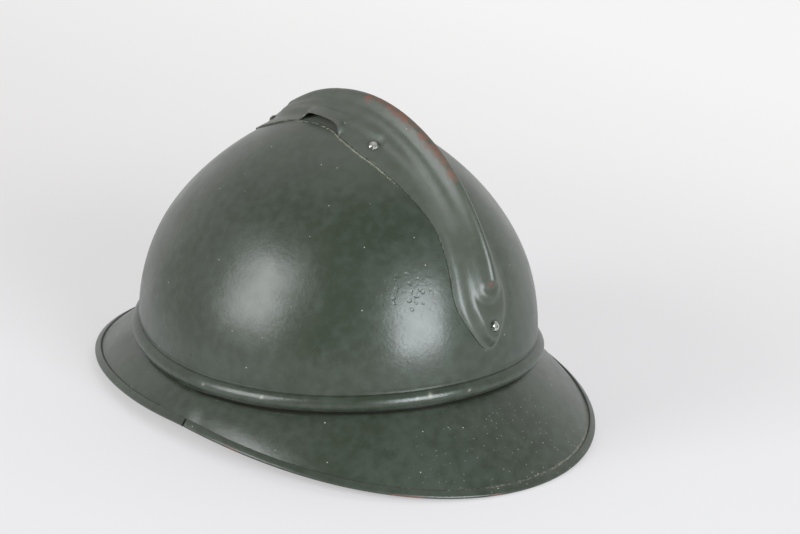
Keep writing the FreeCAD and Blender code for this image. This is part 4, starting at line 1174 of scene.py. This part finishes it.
class HELMET_OT_head_band(bpy.types.Operator):
    """Leather head band sewn over its felt backing"""

    bl_idname = "helmet.head_band"
    bl_label = "Head band and felt"

    def execute(self, context):
        form = context.scene.helmet_form
        turn = np.linspace(0.0, 2 * np.pi, form.turns, endpoint=False)
        self.felt(turn, form.felt_thickness * 1000)
        self.leather(turn, form.leather_thickness * 1000)
        self.stitching(form)
        return {"FINISHED"}

    def felt(self, turn, thickness):
        """Felt strip with rounded edges, a slow ripple and a fuzzy face."""
        phases = np.random.default_rng(5).uniform(0, 2 * np.pi, 6)
        share = np.linspace(0.0, 1.0, 40)
        angle = turn[:, None]
        height = FELT_LEVELS[1] - FELT_LEVELS[0]
        level = FELT_LEVELS[0] + height * share
        edge = thickness / 2 * (1 - np.sqrt(np.clip(1 - (2 * share - 1) ** 16, 0.0, 1.0)))
        ripple = 0.10 * sum(np.sin(k * angle + phases[k]) for k in (3, 5)) * (share - 0.5)
        face = ripple - FELT_INSET - 0.2
        outer = oval_point(angle, face - edge, level)
        inner = oval_point(angle, face - thickness + edge, level)
        outer = outer + unit(outer * (1, 1, 0)) * (waves(outer, 3.0, 8) * 0.05)[..., None]
        mesh = sheet_mesh("felt_backing", outer, inner, closed=True)
        felt = finish_piece(mesh, "felt", shared(wool_felt), "felt_band")

    def leather(self, turn, thickness):
        """Head band with its lower edge turned out."""
        share = np.linspace(0.0, 1.0, 44)
        level = BAND_LEVELS[0] + 0.1 + (BAND_LEVELS[1] - BAND_LEVELS[0] - 0.2) * share
        offset = band_lip(share) - BAND_INSET + band_crease(turn[:, None], share)
        grid = oval_point(turn[:, None], offset, level)
        inside = grid - grid_normal(grid, closed_rows=True) * thickness
        mesh = sheet_mesh("head_band_leather", grid, inside, closed=True)
        finish_piece(mesh, "leather", shared(tanned_leather), "head_band")

    def stitching(self, form):
        """Two rows of stitches round the inside of the head band."""
        radius = form.thread_width * 500
        half_stitch = form.stitch_length * 500
        thickness = form.leather_thickness * 1000
        # A stitch for each 5 mm round the band
        count = int(2 * np.pi * 90.0 / (half_stitch * 3.1))
        along = np.linspace(-1, 1, 7)
        bow = (1 - along ** 2) * radius * 1.4
        runs = []
        for row in STITCH_ROWS:
            share = (row - BAND_LEVELS[0]) / (BAND_LEVELS[1] - BAND_LEVELS[0])
            lip = band_lip(share + 1.5 / (BAND_LEVELS[1] - BAND_LEVELS[0]))
            for index in range(count):
                angle = 2 * np.pi * index / count + along * half_stitch / 92.0
                face = lip - BAND_INSET - thickness + band_crease(angle, share) - bow + radius * 0.5
                runs.append(oval_point(angle, face, row + 1.5))
        finish_piece(thread_mesh("band_stitching", runs, radius), "leather", shared(waxed_thread))


class HELMET_OT_tongues(bpy.types.Operator):
    """Seven leather tongues that close over the crown, each with its lace hole"""

    bl_idname = "helmet.tongues"
    bl_label = "Crown tongues"

    def execute(self, context):
        thickness = context.scene.helmet_form.leather_thickness * 1000
        for number in range(TONGUE_COUNT):
            azimuth = 2 * np.pi / TONGUE_COUNT * number
            self.tongue(number, azimuth, thickness)
        return {"FINISHED"}

    def tongue(self, number, azimuth, thickness):
        """One tongue, cut flat and laid along the crown."""
        low, high = TONGUE_SPAN
        width, length = (axis - TONGUE_INSET for axis in BOWL_AXES[:2])
        arc = math.radians(high - low) * TONGUE_ARC_RADIUS

        def half_angle(rise):
            """Half width as an angle, narrowing to the tip."""
            tip = TONGUE_TIP_WIDTH / (width * np.cos(np.maximum(rise, 0.0)))
            narrow = smooth_step(np.degrees(np.maximum(rise, 0.0)) / high) ** 0.8
            wide = math.radians(TONGUE_HALF_ANGLE)
            return wide + (tip - wide) * narrow

        def lay(flat):
            """Points on the crown for points of the flat form, and their normals."""
            rise = np.radians(low) + flat[:, 1] / TONGUE_ARC_RADIUS
            side = flat[:, 0] / TONGUE_FLAT_HALF
            turn = azimuth + side * half_angle(rise)
            shrink = np.cos(np.maximum(rise, 0.0))
            sag = 0.5 * np.sin(flat[:, 1] / arc * np.pi) * np.cos(side * np.pi * 1.5 + number) - 0.2
            points = np.stack([
                (width + sag) * shrink * np.sin(turn), (length + sag) * shrink * np.cos(turn),
                TONGUE_SPRING_LEVEL + TONGUE_RISE * np.sin(rise)], -1)
            normal = unit(points * (1, 1, 1.4) - (0, 0, TONGUE_SPRING_LEVEL * 1.4 - 8))
            return points, normal

        half, body = TONGUE_FLAT_HALF, arc * 0.93
        side = [(half, y) for y in np.linspace(0.0, 1.0, 26) * body]
        tip = [
            (half * math.cos(a), body + (arc - body) * math.sin(a))
            for a in np.linspace(0.0, np.pi, 19)[1:-1]
        ]
        outline = side + tip + [(-x, y) for x, y in reversed(side)]
        outline += [(x, 0.0) for x in np.linspace(-half, half, 18)[1:-1]]
        # The hole is drawn wide, because the flat form narrows towards the tip
        hole_at = arc - math.radians(6.0) * TONGUE_ARC_RADIUS
        across, up = TONGUE_HOLE_RADIUS * half / TONGUE_TIP_WIDTH, TONGUE_HOLE_RADIUS * 1.3
        hole = [
            (across * math.cos(a), hole_at + up * math.sin(a))
            for a in np.linspace(0.0, 2 * np.pi, 22, endpoint=False)
        ]
        name = f"crown_tongue_{number + 1}"
        mesh = cut_sheet(name + "_leather", outline, hole, TONGUE_MESH_SIZE, lay, thickness)
        finish_piece(mesh, "leather", shared(tanned_leather), name)


class HELMET_OT_fittings(bpy.types.Operator):
    """Finish of the strips, tabs, lugs and strap loops"""

    bl_idname = "helmet.fittings"
    bl_label = "Fittings"

    def execute(self, context):
        finish = context.scene.helmet_finish
        strip = rolled_metal("rolled_aluminium_strip", finish.aluminium, 9.0, 0.34)
        wire = rolled_metal("drawn_steel_wire", finish.wire, 6.0, 0.38)
        tab = rolled_metal("cut_steel_strip", finish.wire, 12.0, 0.42)
        for name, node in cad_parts.items():
            if node.hide_render:
                continue
            if name.startswith("spacer"):
                material = strip
            elif name.endswith("_bail"):
                material = wire
            elif name.endswith("_lug"):
                material = shared(olive_enamel)
            elif name.startswith("liner_tab"):
                material = tab
            else:
                raise RuntimeError("no finish for " + name)
            for slot in node.material_slots:
                slot.material = material
        return {"FINISHED"}


def towards(azimuth, elevation):
    """Direction from the helmet to a lamp or the camera; azimuth 0 is in front."""
    flat = math.cos(elevation)
    return np.array([math.sin(azimuth) * flat, -math.cos(azimuth) * flat, math.sin(elevation)])


class HELMET_OT_studio(bpy.types.Operator):
    """Pale floor, soft lamps and the camera"""

    bl_idname = "helmet.studio"
    bl_label = "Studio"

    def execute(self, context):
        studio = context.scene.helmet_studio
        scene = context.scene
        scene.view_settings.view_transform = "Standard"
        self.floor(studio)
        self.surroundings(scene, studio)
        self.lamp("left_softbox", 75.5, 20.0, 1.5, (0.72, 1.0), studio.left_power, (0.96, 0.98, 1.0))
        self.lamp("right_softbox", 169.0, 14.0, 1.6, (0.86, 0.95), studio.right_power, (0.89, 0.95, 1.0))
        self.camera(scene, studio)
        return {"FINISHED"}

    def floor(self, studio):
        """Matt floor that shows the shadow near the helmet and fades into a pale backdrop."""
        mesh = bpy.data.meshes.new("studio_floor")
        ring = np.linspace(0.0, 2 * np.pi, 96, endpoint=False)
        rim = np.stack([
            FLOOR_RADIUS * np.cos(ring), FLOOR_RADIUS * np.sin(ring), 0 * ring - FLOOR_DROP], -1)
        mesh.from_pydata(rim.tolist(), [], [list(range(96))])
        floor = bpy.data.objects.new("studio_floor", mesh)
        bpy.context.scene.collection.objects.link(floor)
        material, tree, shader, place = new_finish("matt_paper_sweep")
        shader.inputs["Base Color"].default_value = rgba(studio.floor_colour)
        shader.inputs["Roughness"].default_value = 0.9
        shader.inputs["Specular IOR Level"].default_value = 0.2
        # The backdrop is painted paler towards the upper right of the view, over about 1.2 m, a painted
        # fall of light
        turn = studio.azimuth
        across = (math.cos(turn) - math.sin(turn), math.sin(turn) + math.cos(turn), 0.0)
        slant = add_node(tree, "ShaderNodeVectorMath", {0: place, 1: across}, operation="DOT_PRODUCT")
        pale = add_node(
            tree, "ShaderNodeMapRange", {"Value": slant, "From Min": -450.0, "From Max": 900.0})
        tone = add_node(
            tree, "ShaderNodeMix", {0: pale, 6: rgba(studio.backdrop_shaded_tone), 7: rgba(studio.backdrop_lit_tone)},
            data_type="RGBA")
        glow = add_node(tree, "ShaderNodeEmission", {"Color": tone, "Strength": 1.0})
        # Beyond about 0.5 m the camera and the gloss of the paint see only the backdrop's glow in its
        # painted tones
        far = add_node(tree, "ShaderNodeVectorMath", {0: place}, operation="LENGTH")
        fade = add_node(
            tree, "ShaderNodeMapRange", {"Value": far, "From Min": 200.0, "From Max": 480.0},
            interpolation_type="SMOOTHSTEP")
        path = add_node(tree, "ShaderNodeLightPath")
        softened = add_node(
            tree, "ShaderNodeMath", {0: fade, 1: 0.45, 2: 0.55}, operation="MULTIPLY_ADD")
        to_camera = add_node(
            tree, "ShaderNodeMath", {0: softened, 1: path.outputs["Is Camera Ray"]},
            operation="MULTIPLY")
        share = add_node(
            tree, "ShaderNodeMath", {0: fade, 1: path.outputs["Is Glossy Ray"], 2: to_camera},
            operation="MULTIPLY_ADD")
        mix = add_node(tree, "ShaderNodeMixShader", {0: share, 1: shader, 2: glow})
        feed(tree.nodes["Material Output"], {"Surface": mix})
        mesh.materials.append(material)

    def surroundings(self, scene, studio):
        """Pale wall beyond the helmet and a dim room behind the camera, which sees only the pale."""
        world = bpy.data.worlds.new("pale_studio")
        world.use_nodes = True
        scene.world = world
        tree = world.node_tree
        lit = tree.nodes["Background"]
        lit.inputs["Color"].default_value = rgba(studio.wall_colour)
        away = (-math.sin(studio.azimuth), math.cos(studio.azimuth), 0.0)
        looking = add_node(tree, "ShaderNodeTexCoord").outputs["Generated"]
        ahead = add_node(tree, "ShaderNodeVectorMath", {0: looking, 1: away}, operation="DOT_PRODUCT")
        level = add_node(
            tree, "ShaderNodeMapRange",
            {"Value": ahead, "From Min": -0.3, "From Max": 0.7, "To Min": studio.room_strength,
             "To Max": studio.surround_strength}, interpolation_type="SMOOTHSTEP")
        feed(lit, {"Strength": level})
        seen = add_node(
            tree, "ShaderNodeBackground", {"Color": rgba(studio.backdrop_lit_tone), "Strength": 1.0})
        path = add_node(tree, "ShaderNodeLightPath")
        mix = add_node(tree, "ShaderNodeMixShader", {0: path.outputs["Is Camera Ray"], 1: lit, 2: seen})
        feed(tree.nodes["World Output"], {"Surface": mix})

    def lamp(self, name, azimuth, elevation, distance, size, power, colour):
        """Softbox turned to the helmet."""
        data = bpy.data.lights.new(name, "AREA")
        data.shape = "RECTANGLE"
        data.size, data.size_y = size
        data.energy = power
        data.color = colour
        lamp = bpy.data.objects.new(name, data)
        bpy.context.scene.collection.objects.link(lamp)
        back = Vector(towards(math.radians(azimuth), math.radians(elevation)))
        lamp.location = Vector((0.0, 0.0, 0.08)) + back * distance
        lamp.rotation_euler = (-back).to_track_quat("-Z", "Y").to_euler()

    def camera(self, scene, studio):
        """Camera at the photographed angle, in the attitude at rest."""
        back = towards(studio.azimuth, studio.elevation)
        right = np.array([math.cos(studio.azimuth), math.sin(studio.azimuth), 0.0])
        up = np.cross(back, right)
        lean_right = math.cos(studio.roll) * right + math.sin(studio.roll) * up
        lean_up = math.cos(studio.roll) * up - math.sin(studio.roll) * right
        middle = np.array([0.0, 0.0, 60.0]) + VIEW_SHIFT[0] * lean_right + VIEW_SHIFT[1] * lean_up
        eye = middle + back * studio.distance * 1000
        axes = [to_rest(eye + axis) - to_rest(eye) for axis in (lean_right, lean_up, back)]
        data = bpy.data.cameras.new("studio_camera")
        data.sensor_width = 36.0
        data.lens = studio.lens
        data.clip_start, data.clip_end = 0.05, 50.0
        camera = bpy.data.objects.new("studio_camera", data)
        scene.collection.objects.link(camera)
        turn = Matrix(np.stack([unit(axis) for axis in axes], 1).tolist())
        camera.matrix_world = Matrix.Translation(Vector(to_rest(eye))) @ turn.to_4x4()
        scene.camera = camera


class HELMET_PT_builder(bpy.types.Panel):
    """Sidebar panel with the sizes, the colours and one button for each step"""

    bl_idname = "HELMET_PT_builder"
    bl_label = "Combed steel helmet"
    bl_space_type = "VIEW_3D"
    bl_region_type = "UI"
    bl_category = "Helmet"

    def draw(self, context):
        for title, group in (
                ("Form", context.scene.helmet_form), ("Finish", context.scene.helmet_finish),
                ("Studio", context.scene.helmet_studio)):
            box = self.layout.box()
            box.label(text=title)
            for name in group.bl_rna.properties.keys():
                if name not in ("rna_type", "name"):
                    box.prop(group, name)
        for step in STEPS:
            self.layout.operator(step.bl_idname)


GROUPS = {"helmet_form": HelmetForm, "helmet_finish": HelmetFinish, "helmet_studio": HelmetStudio}
STEPS = (
    HELMET_OT_bowl, HELMET_OT_brim, HELMET_OT_comb, HELMET_OT_rivets, HELMET_OT_head_band,
    HELMET_OT_tongues, HELMET_OT_fittings, HELMET_OT_studio,
)


def register():
    for name, group in GROUPS.items():
        bpy.utils.register_class(group)
        setattr(bpy.types.Scene, name, PointerProperty(type=group))
    for item in (*STEPS, HELMET_PT_builder):
        bpy.utils.register_class(item)


def unregister():
    for item in reversed((*STEPS, HELMET_PT_builder)):
        bpy.utils.unregister_class(item)
    for name, group in GROUPS.items():
        delattr(bpy.types.Scene, name)
        bpy.utils.unregister_class(group)


def main():
    register()
    for step in STEPS:
        group, name = step.bl_idname.split(".")
        getattr(getattr(bpy.ops, group), name)()


if __name__ == "__main__":
    main()
